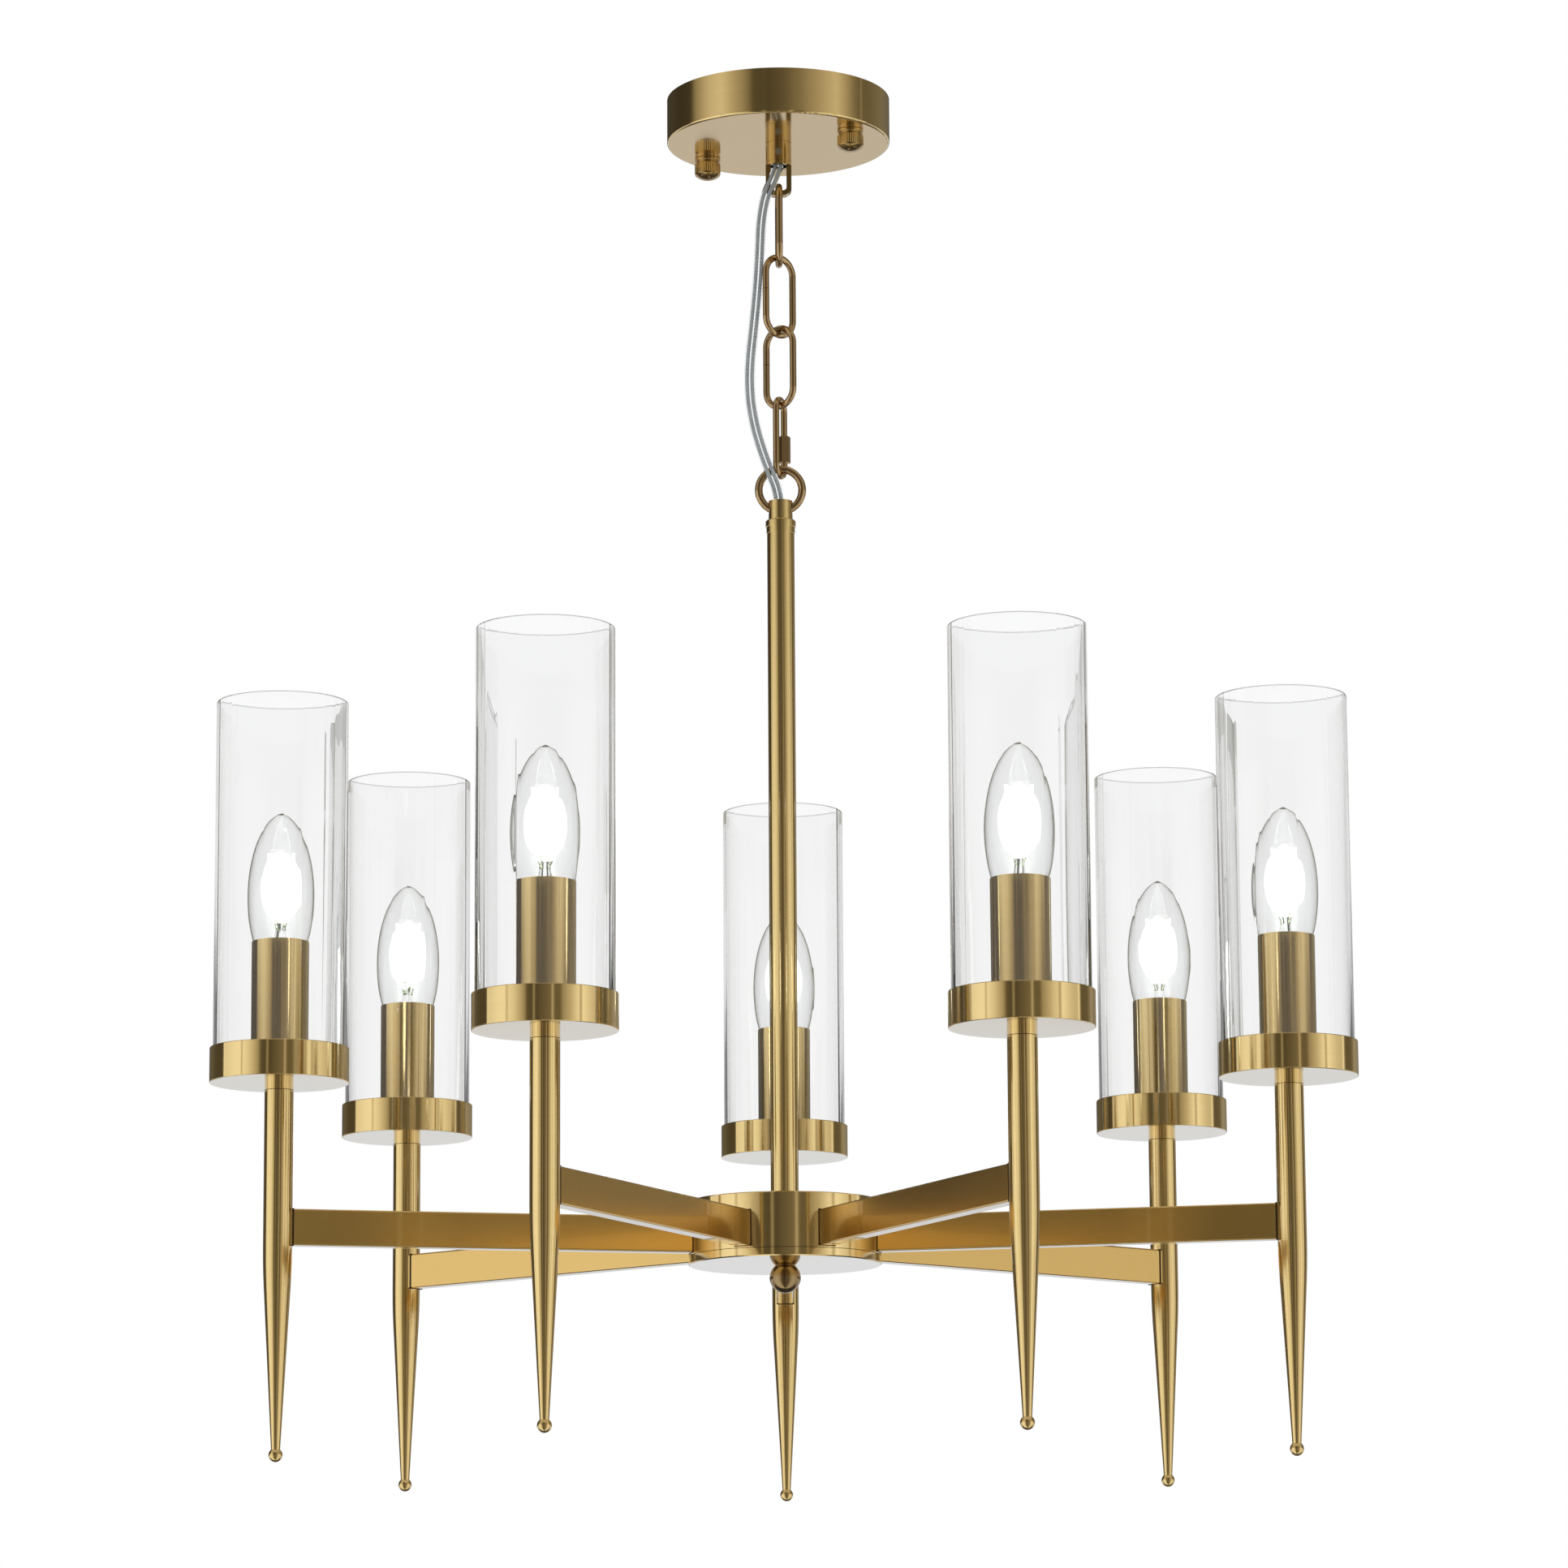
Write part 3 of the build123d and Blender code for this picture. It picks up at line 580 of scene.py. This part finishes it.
glassTube = {
    "wall": mm(2), "waveDepth": mm(0.02), "waveSize": mm(9), "ribs": 20, "ribDepth": mm(0.16),
    "ribWidth": 0.13, "round": 360, "rimSoft": mm(0.9),
}


def makeGlassTree():
    tree, given, result = newGeometryTree("drawnTube", [
        ("Place", "Vector", None), ("Radius", "Float", 0.036), ("Wall", "Float", 0.002),
        ("Foot", "Float", 0.0), ("Length", "Float", 0.2), ("Rim Soft", "Float", 0.0009),
        ("Round", "Int", 360), ("Wave", "Float", 0.00002), ("Wave Size", "Float", 0.009),
        ("Ribs", "Float", 20.0), ("Rib Depth", "Float", 0.00016), ("Rib Width", "Float", 0.13),
        ("Seed", "Float", 0.0)])
    centreLine = calc(tree, "SUBTRACT", given["Radius"], calc(tree, "MULTIPLY", given["Wall"], 0.5))
    circle = addNode(tree, "GeometryNodeCurvePrimitiveCircle",
                     links={"Resolution": given["Round"], "Radius": centreLine})
    wall = addNode(tree, "GeometryNodeCurvePrimitiveQuadrilateral",
                   links={"Width": given["Wall"], "Height": given["Length"]})
    soft = addNode(tree, "GeometryNodeFilletCurve", mode="POLY", links={
        0: wall.outputs[0], "Count": 5, "Radius": given["Rim Soft"]})
    tube = addNode(tree, "GeometryNodeCurveToMesh", links={0: circle.outputs[0], 1: soft.outputs[0]})
    here = tree.nodes.new("GeometryNodeInputPosition").outputs[0]
    level = vectorCalc(tree, "MULTIPLY", here, (1, 1, 0))
    outward = vectorCalc(tree, "NORMALIZE", level)
    size = calc(tree, "DIVIDE", 1.0, given["Wave Size"])
    drawn = vectorCalc(tree, "MULTIPLY", here, (1, 1, 0.012))          # waves run up the tube
    stretched = vectorCalc(tree, "SCALE", drawn, size)
    shifted = addNode(tree, "ShaderNodeCombineXYZ", links={2: given["Seed"]})
    spot = vectorCalc(tree, "ADD", stretched, shifted.outputs[0])
    waves = addNode(tree, "ShaderNodeTexNoise",
                    links={"Vector": spot, "Scale": 1.0, "Detail": 2.5, "Roughness": 0.6})
    inside = calc(tree, "LESS_THAN", vectorCalc(tree, "LENGTH", level), centreLine)
    # the inner wall has upright ribs, unevenly spaced and unevenly deep
    parts = addNode(tree, "ShaderNodeSeparateXYZ", links={0: here})
    turn = calc(tree, "DIVIDE", calc(tree, "ARCTAN2", parts.outputs[1], parts.outputs[0]), 2 * math.pi)
    sway = calc(tree, "MULTIPLY", calc(tree, "SUBTRACT", waves.outputs[0], 0.5), 1.1)
    order = calc(tree, "ADD", calc(tree, "MULTIPLY_ADD", turn, given["Ribs"], given["Seed"]), sway)
    apart = calc(tree, "ABSOLUTE", calc(tree, "SUBTRACT", calc(tree, "FRACT", order), 0.5))
    rib = calc(tree, "SUBTRACT", 1.0, calc(tree, "DIVIDE", apart, given["Rib Width"]), clamp=True)
    chance = addNode(tree, "ShaderNodeTexWhiteNoise", noise_dimensions="1D",
                     links={"W": calc(tree, "FLOOR", order)}).outputs["Value"]
    rib = calc(tree, "MULTIPLY", calc(tree, "MULTIPLY", rib, chance), given["Rib Depth"])
    # no wave or rib leaves the tube's own size
    wave = calc(tree, "MULTIPLY", calc(tree, "ABSOLUTE", calc(tree, "SUBTRACT", waves.outputs[0], 0.5)),
                given["Wave"])
    push = addNode(tree, "ShaderNodeMix", links={
        0: inside, 2: calc(tree, "MULTIPLY", wave, -1.0), 3: calc(tree, "ADD", wave, rib)}).outputs[0]
    offset = vectorCalc(tree, "SCALE", outward, push)
    waved = addNode(tree, "GeometryNodeSetPosition", links={0: tube.outputs[0], "Offset": offset})
    rise = addNode(tree, "ShaderNodeCombineXYZ", links={
        2: calc(tree, "MULTIPLY_ADD", given["Length"], 0.5, given["Foot"])}).outputs[0]
    moved = addNode(tree, "GeometryNodeTransform", links={
        0: waved.outputs[0], "Translation": vectorCalc(tree, "ADD", given["Place"], rise)})
    endGeometryTree(tree, moved.outputs[0], given, result)
    return tree


def makeGlasses():
    tree = makeGlassTree()
    for n in numbers:
        node = f"glass_{n}"
        centre = middle(node)
        glass = grown(f"glassCylinder{n}", tree, clearGlass, Place=(centre.x, centre.y, 0.0),
                      Radius=span(node, 0) / 2, Wall=glassTube["wall"], Foot=low(node).z,
                      Length=span(node, 2), Seed=3.7 * n, Round=glassTube["round"],
                      Wave=glassTube["waveDepth"], Ribs=float(glassTube["ribs"]),
                      **{"Rim Soft": glassTube["rimSoft"], "Wave Size": glassTube["waveSize"],
                         "Rib Depth": glassTube["ribDepth"], "Rib Width": glassTube["ribWidth"]})
        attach(glass, node)
        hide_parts(node)


makeGlasses()
print("glass cylinders made")


# lamps: a thin envelope, a screw cap, a glass mount with its wires, four lit filaments and their glow

lamp = {
    "glassLength": mm(83), "widest": mm(37), "shoulder": mm(45), "neck": mm(15.8),
    "tip": mm(5), "tipHeight": mm(1.2), "wall": mm(0.2),
    # how round the arcs below and above the widest place are, and how far each falls in all
    "footBend": (0.98, 0.859), "tipBend": (0.93, 0.735),
    "capWidth": mm(13.5), "capLength": mm(25), "contactFoot": mm(2.2), "contactTop": mm(2.8),
    "contactHeight": mm(1), "coneInset": mm(1.5), "coneFoot": mm(3), "coneTop": mm(5),
    "skirt": mm(6), "threadDepth": mm(0.5), "threadTurns": 5, "threadSunk": mm(0.1),
    "threadFoot": mm(6), "threadShort": mm(14),
    "filaments": 4, "filamentLength": mm(38), "filamentWidth": mm(1.7), "filamentRing": mm(5.2),
    "filamentDrop": mm(2), "glowFoot": mm(25), "glowTop": mm(62), "glowTip": mm(0.6),
    "glowWidths": {"Core": 0.46, "Halo": 0.62}, "mountWires": 6, "mountWireLength": mm(8),
    "mountWireWidth": mm(0.6), "mountWireRing": mm(3.2), "mountWireHeight": mm(22),
    "mountWireLean": 0.3,
    # half widths of the glass mount, by height above the envelope's foot
    "mountOutline": [(0, 0), (mm(5), 0), (mm(4.4), mm(8)), (mm(3.2), mm(15)), (mm(2.2), mm(24)),
                     (0, mm(25))],
}


def bent(share, bend):
    return (1 - math.sqrt(max(0, 1 - bend[0] * share ** 2))) / bend[1]


def ogive(length, foot, top, widest, steps):
    # half widths along a candle shape: an arc up to the widest place, a longer one to the tip
    shoulder = length - lamp["shoulder"]
    rows = []
    for i in range(steps + 1):
        height = length * i / steps
        if height <= shoulder:
            share = 1 - height / shoulder
            wide = widest - (widest - foot) * bent(share, lamp["footBend"])
        else:
            share = (height - shoulder) / (length - shoulder)
            wide = widest - (widest - top) * bent(share, lamp["tipBend"])
        rows.append((wide, height))
    return rows


def ringOfRods(tree, given, sides, rotation=(0, 0, 0)):
    # upright rods evenly round a ring, which stands at Place
    ring = addNode(tree, "GeometryNodeCurvePrimitiveCircle",
                   links={"Resolution": given["Count"], "Radius": given["Ring"]})
    corners = addNode(tree, "GeometryNodeCurveToPoints", mode="EVALUATED", links={0: ring.outputs[0]})
    half = calc(tree, "MULTIPLY", given["Length"], 0.5)
    end = addNode(tree, "ShaderNodeCombineXYZ", links={2: half}).outputs[0]
    start = vectorCalc(tree, "SCALE", end, -1.0)
    rod = addNode(tree, "GeometryNodeCurvePrimitiveLine", links={0: start, 1: end})
    edge = addNode(tree, "GeometryNodeCurvePrimitiveCircle", links={
        "Resolution": sides, "Radius": calc(tree, "MULTIPLY", given["Width"], 0.5)})
    solid = addNode(tree, "GeometryNodeCurveToMesh", links={
        0: rod.outputs[0], 1: edge.outputs[0], "Fill Caps": True})
    spread = addNode(tree, "GeometryNodeInstanceOnPoints", links={
        "Points": corners.outputs[0], "Instance": solid.outputs[0], "Rotation": rotation})
    return addNode(tree, "GeometryNodeTransform", links={
        0: spread.outputs[0], "Translation": given["Place"]}).outputs[0]


def makeFilamentTree():
    tree, given, result = newGeometryTree("filamentRing", [
        ("Place", "Vector", None), ("Count", "Int", 4), ("Ring", "Float", 0.005),
        ("Length", "Float", 0.038), ("Width", "Float", 0.0016), ("Lean", "Float", 0.08)])
    turn = calc(tree, "DIVIDE", 2 * math.pi, given["Count"])
    order = tree.nodes.new("GeometryNodeInputIndex").outputs[0]
    spin = addNode(tree, "ShaderNodeCombineXYZ", links={
        1: given["Lean"], 2: calc(tree, "MULTIPLY", order, turn)}).outputs[0]
    endGeometryTree(tree, ringOfRods(tree, given, 12, spin), given, result)
    return tree


def makeThreadTree():
    tree, given, result = newGeometryTree("screwThread", [
        ("Place", "Vector", None), ("Radius", "Float", 0.0065), ("Height", "Float", 0.014),
        ("Turns", "Float", 5.0), ("Depth", "Float", 0.0007)])
    helix = addNode(tree, "GeometryNodeCurveSpiral", links={
        "Resolution": 28, "Rotations": given["Turns"], "Start Radius": given["Radius"],
        "End Radius": given["Radius"], "Height": given["Height"]})
    ridge = addNode(tree, "GeometryNodeCurvePrimitiveCircle",
                    links={"Resolution": 8, "Radius": given["Depth"]})
    swept = addNode(tree, "GeometryNodeCurveToMesh", links={
        0: helix.outputs[0], 1: ridge.outputs[0], "Fill Caps": True})
    moved = addNode(tree, "GeometryNodeTransform", links={
        0: swept.outputs[0], "Translation": given["Place"]})
    endGeometryTree(tree, moved.outputs[0], given, result)
    return tree


def makeLamps():
    filamentTree, threadTree = makeFilamentTree(), makeThreadTree()
    for n in numbers:
        node = f"bulb_{n}"
        centre, tipHeight = middle(node), high(node).z
        foot = tipHeight - lamp["glassLength"]
        wall = lamp["wall"]
        outer = ogive(lamp["glassLength"] - lamp["tipHeight"], lamp["neck"] / 2, lamp["tip"] / 2,
                      lamp["widest"] / 2, 40)
        skin = [(wide, foot + height) for wide, height in outer] + [(0, tipHeight)]
        inner = [(max(wide - wall, 0), foot + height) for wide, height in outer[1:]]
        inner = [(lamp["neck"] / 2 - wall, foot)] + inner + [(0, tipHeight - 2 * lamp["tipHeight"])]
        envelope = turned(f"lampEnvelope{n}", skin[::-1] + inner, centre, envelopeGlass, 72)
        capRadius = lamp["capWidth"] / 2
        ridge, base = capRadius - lamp["threadDepth"], foot - lamp["capLength"]
        cap = turned(f"lampCap{n}", [
            (0, base), (lamp["contactFoot"], base), (lamp["contactTop"], base + lamp["contactHeight"]),
            (ridge - lamp["coneInset"], base + lamp["coneFoot"]), (ridge, base + lamp["coneTop"]),
            (ridge, foot - lamp["skirt"] - mm(1)), (capRadius, foot - lamp["skirt"]),
            (capRadius, foot), (0, foot)], centre, brightSteel, 48)
        thread = grown(f"lampThread{n}", threadTree, brightSteel,
                       Place=(centre.x, centre.y, base + lamp["threadFoot"]),
                       Radius=ridge - lamp["threadSunk"],
                       Height=lamp["capLength"] - lamp["threadShort"],
                       Turns=float(lamp["threadTurns"]), Depth=lamp["threadDepth"])
        glowFoot, glowTop = lamp["glowFoot"], lamp["glowTop"]
        filaments = grown(f"lampFilaments{n}", filamentTree, filamentGlow,
                          Place=(centre.x, centre.y,
                                 foot + (glowFoot + glowTop) / 2 - lamp["filamentDrop"]),
                          Count=lamp["filaments"], Ring=lamp["filamentRing"],
                          Length=lamp["filamentLength"], Width=lamp["filamentWidth"])
        mount = turned(f"lampMount{n}", [(wide, foot + height) for wide, height in lamp["mountOutline"]],
                       centre, envelopeGlass, 32)
        wires = grown(f"lampWires{n}", filamentTree, mountWire,
                      Place=(centre.x, centre.y, foot + lamp["mountWireHeight"]),
                      Count=lamp["mountWires"], Ring=lamp["mountWireRing"],
                      Length=lamp["mountWireLength"], Width=lamp["mountWireWidth"],
                      Lean=lamp["mountWireLean"])
        pieces = [cap, thread, filaments, wires, mount]
        for name, finish in (("Core", glowCore), ("Halo", glowHalo)):
            size = lamp["glowWidths"][name]
            body = [(wide * size, foot + glowFoot + (glowTop - glowFoot) * height
                     / lamp["glassLength"]) for wide, height in outer]
            body = [(0, body[0][1])] + body + [(0, body[-1][1] + lamp["glowTip"])]
            pieces.append(turned(f"lampGlow{name}{n}", body, centre, finish, 32))
        for piece in [envelope] + pieces:
            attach(piece, node)
        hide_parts(node)


makeLamps()
print("lamps made")


# cap nuts: turned brass with a fluted barrel

capNut = {"flutes": 36, "fluteWidth": mm(0.8), "groove": mm(0.6), "flange": mm(2),
          "shoulder": mm(0.8), "dome": mm(3), "barrelInset": mm(0.25), "bevel": mm(0.7),
          "neckInset": mm(0.7), "rimSoft": mm(0.3), "boreRadius": mm(2.1), "boreFoot": mm(4)}


def makeFluteTree():
    tree, given, result = newGeometryTree("fluteRing", [
        ("Place", "Vector", None), ("Count", "Int", 30), ("Ring", "Float", 0.0066),
        ("Length", "Float", 0.006), ("Width", "Float", 0.0009)])
    endGeometryTree(tree, ringOfRods(tree, given, 8), given, result)
    return tree


def makeCapNuts():
    tree = makeFluteTree()
    for node in ("cap_nut_left", "cap_nut_right"):
        side = "Left" if node.endswith("left") else "Right"
        centre, top, foot = middle(node), high(node).z, low(node).z
        outer, dome, inset = span(node, 0) / 2, capNut["dome"], capNut["barrelInset"]
        flangeFoot = top - capNut["flange"]
        barrelTop = flangeFoot - capNut["groove"] - capNut["shoulder"]
        neck, soft, bevel = outer - capNut["neckInset"], capNut["rimSoft"], capNut["bevel"]
        bore, boreFoot = capNut["boreRadius"], foot + capNut["boreFoot"]
        ball = (outer ** 2 + dome ** 2) / (2 * dome)
        slope = math.degrees(math.asin((outer - inset) / ball))
        outline = [(bore, top), (outer - soft, top), (outer, top - soft),
                   (outer, flangeFoot + soft), (outer - soft, flangeFoot), (neck, flangeFoot),
                   (neck, flangeFoot - capNut["groove"]),
                   (outer - capNut["shoulder"], flangeFoot - capNut["groove"]),
                   (outer - inset, barrelTop), (outer - inset, foot + dome + bevel)]
        outline += arcPoints((0, foot + ball), ball, slope - 90, -90, 12)
        outline += [(0, boreFoot), (bore, boreFoot)]
        body = turned(f"capNut{side}", outline, centre, capBrass, 72)
        barrel = barrelTop - (foot + dome + bevel)
        flutes = grown(f"capNutFlutes{side}", tree, capBrass, Count=capNut["flutes"],
                       Place=(centre.x, centre.y, barrelTop - barrel / 2),
                       Ring=outer - capNut["fluteWidth"] / 2, Length=barrel,
                       Width=capNut["fluteWidth"])
        for piece in (body, flutes):
            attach(piece, node)
        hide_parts(node)


makeCapNuts()
print("cap nuts made")


# seams: the dark hairlines where two pieces meet

seam = {
    "wide": mm(0.3), "proud": mm(0.04), "deep": mm(0.4), "armWide": mm(0.25), "armHalf": mm(5),
    # where a collar starts and ends, outwards from the hub's side or the post's near side
    "hubReach": (mm(-0.5), mm(0.1)), "postReach": (mm(-0.3), mm(0.7)),
    # the welded joint of two links: how far each link is turned, and its wire and width
    "linkTurns": {"chain_link_2": 40, "chain_link_3": -40},
    "linkWire": mm(3.8), "linkWide": mm(23.8), "linkAbove": mm(3),
}


def seamRing(name, body, centre, radius, height):
    foot, top = height - seam["wide"] / 2, height + seam["wide"] / 2
    near, far = radius - seam["deep"], radius + seam["proud"]
    ring = turned(name, [(near, foot), (far, foot), (far, top), (near, top)], centre, jointDark,
                  96, closed=True)
    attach(ring, body)


def seamFrame(name, n, start, end):
    # a thin square collar round arm n, from start to end along it
    angle = math.radians(90 + (n - 1) * 360 / 7)
    along = Vector((math.cos(angle), math.sin(angle), 0))
    across, up = along.cross(Vector((0, 0, 1))), Vector((0, 0, 1))
    wide, tall, thick = seam["armHalf"], span(f"arm_{n}", 2) / 2, seam["armWide"]
    form = bmesh.new()
    rings = []
    for reach, grow in ((start, -thick), (start, thick), (end, thick), (end, -thick)):
        corner = along * reach + up * middle(f"arm_{n}").z
        rings.append([form.verts.new(corner + across * (wide + grow) * x + up * (tall + grow) * z)
                      for x, z in ((-1, -1), (1, -1), (1, 1), (-1, 1))])
    for near, far in zip(rings, rings[1:] + rings[:1]):
        for i in range(4):
            form.faces.new((near[i], near[(i + 1) % 4], far[(i + 1) % 4], far[i]))
    collar = formed(name, form, jointDark, 30)
    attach(collar, "fixture")


def makeSeams():
    hub, reach = span("hub_body", 0) / 2, high("post_1").y - span("post_1", 0)
    for n in numbers:
        post = f"post_{n}"
        seamRing(f"cupSeam{n}", "fixture", middle(post), span(post, 0) / 2, high(post).z)
        seamFrame(f"hubSeam{n}", n, *[hub + side for side in seam["hubReach"]])
        seamFrame(f"postSeam{n}", n, *[reach + side for side in seam["postReach"]])
    seamRing("coverSeam", "fixture", middle("hub_cover"), hub, high("hub_cover").z)
    wire, wide = seam["linkWire"], seam["linkWide"]
    for node, angle in seam["linkTurns"].items():
        turn = math.radians(angle)
        leg = middle(node) - Vector((math.cos(turn), math.sin(turn), 0)) * (wide - wire) / 2
        seamRing(node.replace("chain_link_", "linkSeam"), "chain", leg, wire / 2,
                 leg.z + seam["linkAbove"])


makeSeams()
print("seams made")


# the room: pale floor, soft light and white surroundings, which metal sees as lighter and darker strips

room = {
    "floorHeight": -2.5, "floorSize": 60.0, "floorColour": (0.86, 0.86, 0.855, 1),
    "fill": 0.75, "inGlass": 0.9, "inWall": 0.78, "above": 0.5,
    "warm": (1.0, 0.85, 0.55), "bright": (1.0, 1.0, 0.93),
    "shallow": (1.0, 1.05, 1.12), "steep": (1.0, 0.963, 0.933),
    # where one part of the surroundings fades into the next: heights of the way metal looks, and
    # how far that way points from the camera's side for what it sees below
    "upperEdge": (0.17, 0.24), "aboveEdge": (0.55, 0.8), "underEdge": (-0.02, -0.06),
    "steepEdge": (-0.18, -0.26), "awayEdge": (0.0, 0.35),
    # how bright metal sees the room, by the way it looks round: degrees from the camera's side
    # to the right, then brightness low down and higher up
    "bands": [
        (-180, 0.10, 0.05), (-140, 0.12, 0.05), (-124, 0.08, 0.04), (-104, 0.07, 0.05),
        (-101, 0.08, 0.08), (-99, 1.20, 0.14), (-97, 0.86, 0.24), (-76, 1.00, 0.60),
        (-62, 1.05, 0.70), (-60, 0.30, 0.69), (-58, 1.02, 0.66), (-47, 0.84, 0.46),
        (-38, 0.62, 0.34), (-30, 0.40, 0.20), (-26, 0.12, 0.10), (-17, 0.08, 0.08),
        (-15, 0.55, 0.09), (-13, 0.09, 0.08), (-8, 0.09, 0.08), (-6, 0.12, 0.09),
        (0, 0.14, 0.10), (12, 0.20, 0.15), (14, 0.70, 0.17), (16, 0.18, 0.19), (19, 0.14, 0.21),
        (26, 0.14, 0.27), (30, 0.36, 0.31), (43, 0.60, 0.42), (57, 1.00, 0.56), (60, 0.30, 0.60),
        (63, 1.05, 0.62), (74, 0.86, 0.42), (84, 0.72, 0.24), (94, 0.66, 0.12), (96, 0.66, 0.34),
        (98, 1.30, 0.10), (100, 0.60, 0.14), (103, 0.12, 0.14), (122, 0.14, 0.18),
        (134, 0.34, 0.20), (180, 0.15, 0.10),
    ],
    # the same downwards: height of the way it looks, then brightness
    "depths": [
        (-1.0, 0.07), (-0.55, 0.10), (-0.45, 0.60), (-0.36, 0.60), (-0.29, 0.55), (-0.22, 0.60),
        (-0.146, 0.70), (-0.10, 0.78), (0.0, 0.80),
    ],
}


def curveOf(tree, value, spots):
    node = addNode(tree, "ShaderNodeFloatCurve", links={"Value": value})
    curve = node.mapping.curves[0]
    for spot, point in zip((spots[0], spots[-1]), (curve.points[0], curve.points[-1])):
        point.location = spot
    for spot in spots[1:-1]:
        curve.points.new(*spot)
    for point in curve.points:
        point.handle_type = "VECTOR"
    node.mapping.update()
    return node.outputs[0]


def between(tree, share, first, second):
    return addNode(tree, "ShaderNodeMix", links={0: share, 2: first, 3: second}).outputs[0]


def step(tree, value, start, end):
    return addNode(tree, "ShaderNodeMapRange", interpolation_type="SMOOTHSTEP",
                   links={0: value, 1: start, 2: end, 3: 0.0, 4: 1.0}).outputs[0]


def makeRoom():
    world = bpy.data.worlds.new("room")
    bpy.context.scene.world = world
    world.use_nodes = True
    tree = world.node_tree
    tree.nodes.clear()
    way = addNode(tree, "ShaderNodeSeparateXYZ",
                  links={0: tree.nodes.new("ShaderNodeTexCoord").outputs["Generated"]})
    behind = calc(tree, "MULTIPLY", way.outputs[1], -1.0)
    turn = calc(tree, "ARCTAN2", way.outputs[0], behind)
    turn = calc(tree, "MULTIPLY_ADD", turn, 0.5 / math.pi, 0.5)
    lower, upper = [curveOf(tree, turn, [((band[0] + 180) / 360, band[column])
                                         for band in room["bands"]]) for column in (1, 2)]
    mirror = between(tree, step(tree, way.outputs[2], *room["upperEdge"]), lower, upper)
    mirror = between(tree, step(tree, way.outputs[2], *room["aboveEdge"]), mirror, room["above"])
    depths = curveOf(tree, calc(tree, "ADD", way.outputs[2], 1.0, clamp=True),
                     [(height + 1, level) for height, level in room["depths"]])
    under = calc(tree, "MULTIPLY", step(tree, way.outputs[2], *room["underEdge"]),
                 step(tree, way.outputs[1], *room["awayEdge"]))
    mirror = between(tree, under, mirror, depths)
    share = calc(tree, "MULTIPLY", mirror, 1.0, clamp=True)
    deep = step(tree, way.outputs[2], *room["steepEdge"])
    colours = []
    for dim, bright, shallow, steep in zip(room["warm"], room["bright"], room["shallow"],
                                           room["steep"]):
        tint = between(tree, under, between(tree, share, dim, bright),
                       between(tree, deep, shallow, steep))
        colours.append(calc(tree, "MULTIPLY", mirror, tint))
    tinted = addNode(tree, "ShaderNodeCombineXYZ", links=dict(enumerate(colours))).outputs[0]
    path = tree.nodes.new("ShaderNodeLightPath")
    plain = between(tree, path.outputs["Is Diffuse Ray"], 1.0, room["fill"])
    sharp = calc(tree, "MULTIPLY", path.outputs["Is Reflection Ray"], path.outputs["Is Singular Ray"])
    plain = between(tree, sharp, plain, room["inGlass"])
    bounced = calc(tree, "GREATER_THAN", path.outputs["Glossy Depth"], 0.5)
    metal = calc(tree, "MULTIPLY", bounced, calc(tree, "SUBTRACT", 1.0, sharp))
    # light kept inside a glass wall by its own surface comes out soft grey
    held = calc(tree, "MULTIPLY", bounced, path.outputs["Is Transmission Ray"])
    early = calc(tree, "LESS_THAN", path.outputs["Transmission Depth"], 2.5)
    held = calc(tree, "MULTIPLY", held, early)
    plain = between(tree, held, plain, room["inWall"])
    metal = calc(tree, "MULTIPLY", metal, calc(tree, "SUBTRACT", 1.0, held))
    white = addNode(tree, "ShaderNodeCombineXYZ", links={0: plain, 1: plain, 2: plain}).outputs[0]
    seen = addNode(tree, "ShaderNodeMix", data_type="VECTOR",
                   links={0: metal, 4: white, 5: tinted}).outputs[1]
    sky = addNode(tree, "ShaderNodeBackground", links={0: seen, 1: 1.0})
    output = tree.nodes.new("ShaderNodeOutputWorld")
    tree.links.new(sky.outputs[0], output.inputs[0])


def makeFloor():
    half = room["floorSize"] / 2
    mesh = bpy.data.meshes.new("floor")
    mesh.from_pydata([(-half, -half, room["floorHeight"]), (half, -half, room["floorHeight"]),
                      (half, half, room["floorHeight"]), (-half, half, room["floorHeight"])],
                     [], [(0, 1, 2, 3)])
    floor = meshObject("floor", mesh)
    material, tree, surface = newMaterial("paleFloor")
    surface.inputs["Base Color"].default_value = room["floorColour"]
    surface.inputs["Roughness"].default_value = 0.9
    clear = tree.nodes.new("ShaderNodeBsdfTransparent")
    side = tree.nodes.new("ShaderNodeNewGeometry").outputs["Backfacing"]
    both = addNode(tree, "ShaderNodeMixShader",
                   links={0: side, 1: surface.outputs[0], 2: clear.outputs[0]})
    output = next(n for n in tree.nodes if n.type == "OUTPUT_MATERIAL")
    tree.links.new(both.outputs[0], output.inputs["Surface"])
    mesh.materials.append(material)
    floor.visible_glossy = False


def makeLamp(name, spot, target, size, power):
    data = bpy.data.lights.new(name, "AREA")
    data.energy, data.size = power, size
    obj = bpy.data.objects.new(name, data)
    bpy.context.scene.collection.objects.link(obj)
    spot = Vector(spot)
    look = (Vector(target) - spot).to_track_quat("-Z", "Y")
    obj.matrix_world = Matrix.Translation(spot) @ look.to_matrix().to_4x4()
    obj.visible_glossy = False
    obj.visible_transmission = False


makeRoom()
makeFloor()
makeLamp("softKey", (1.4, -1.8, 1.6), (0, 0, -0.5), 1.6, 28)
makeLamp("softFill", (-1.8, -1.2, 0.6), (0, 0, -0.5), 1.8, 14)
print("room lit")
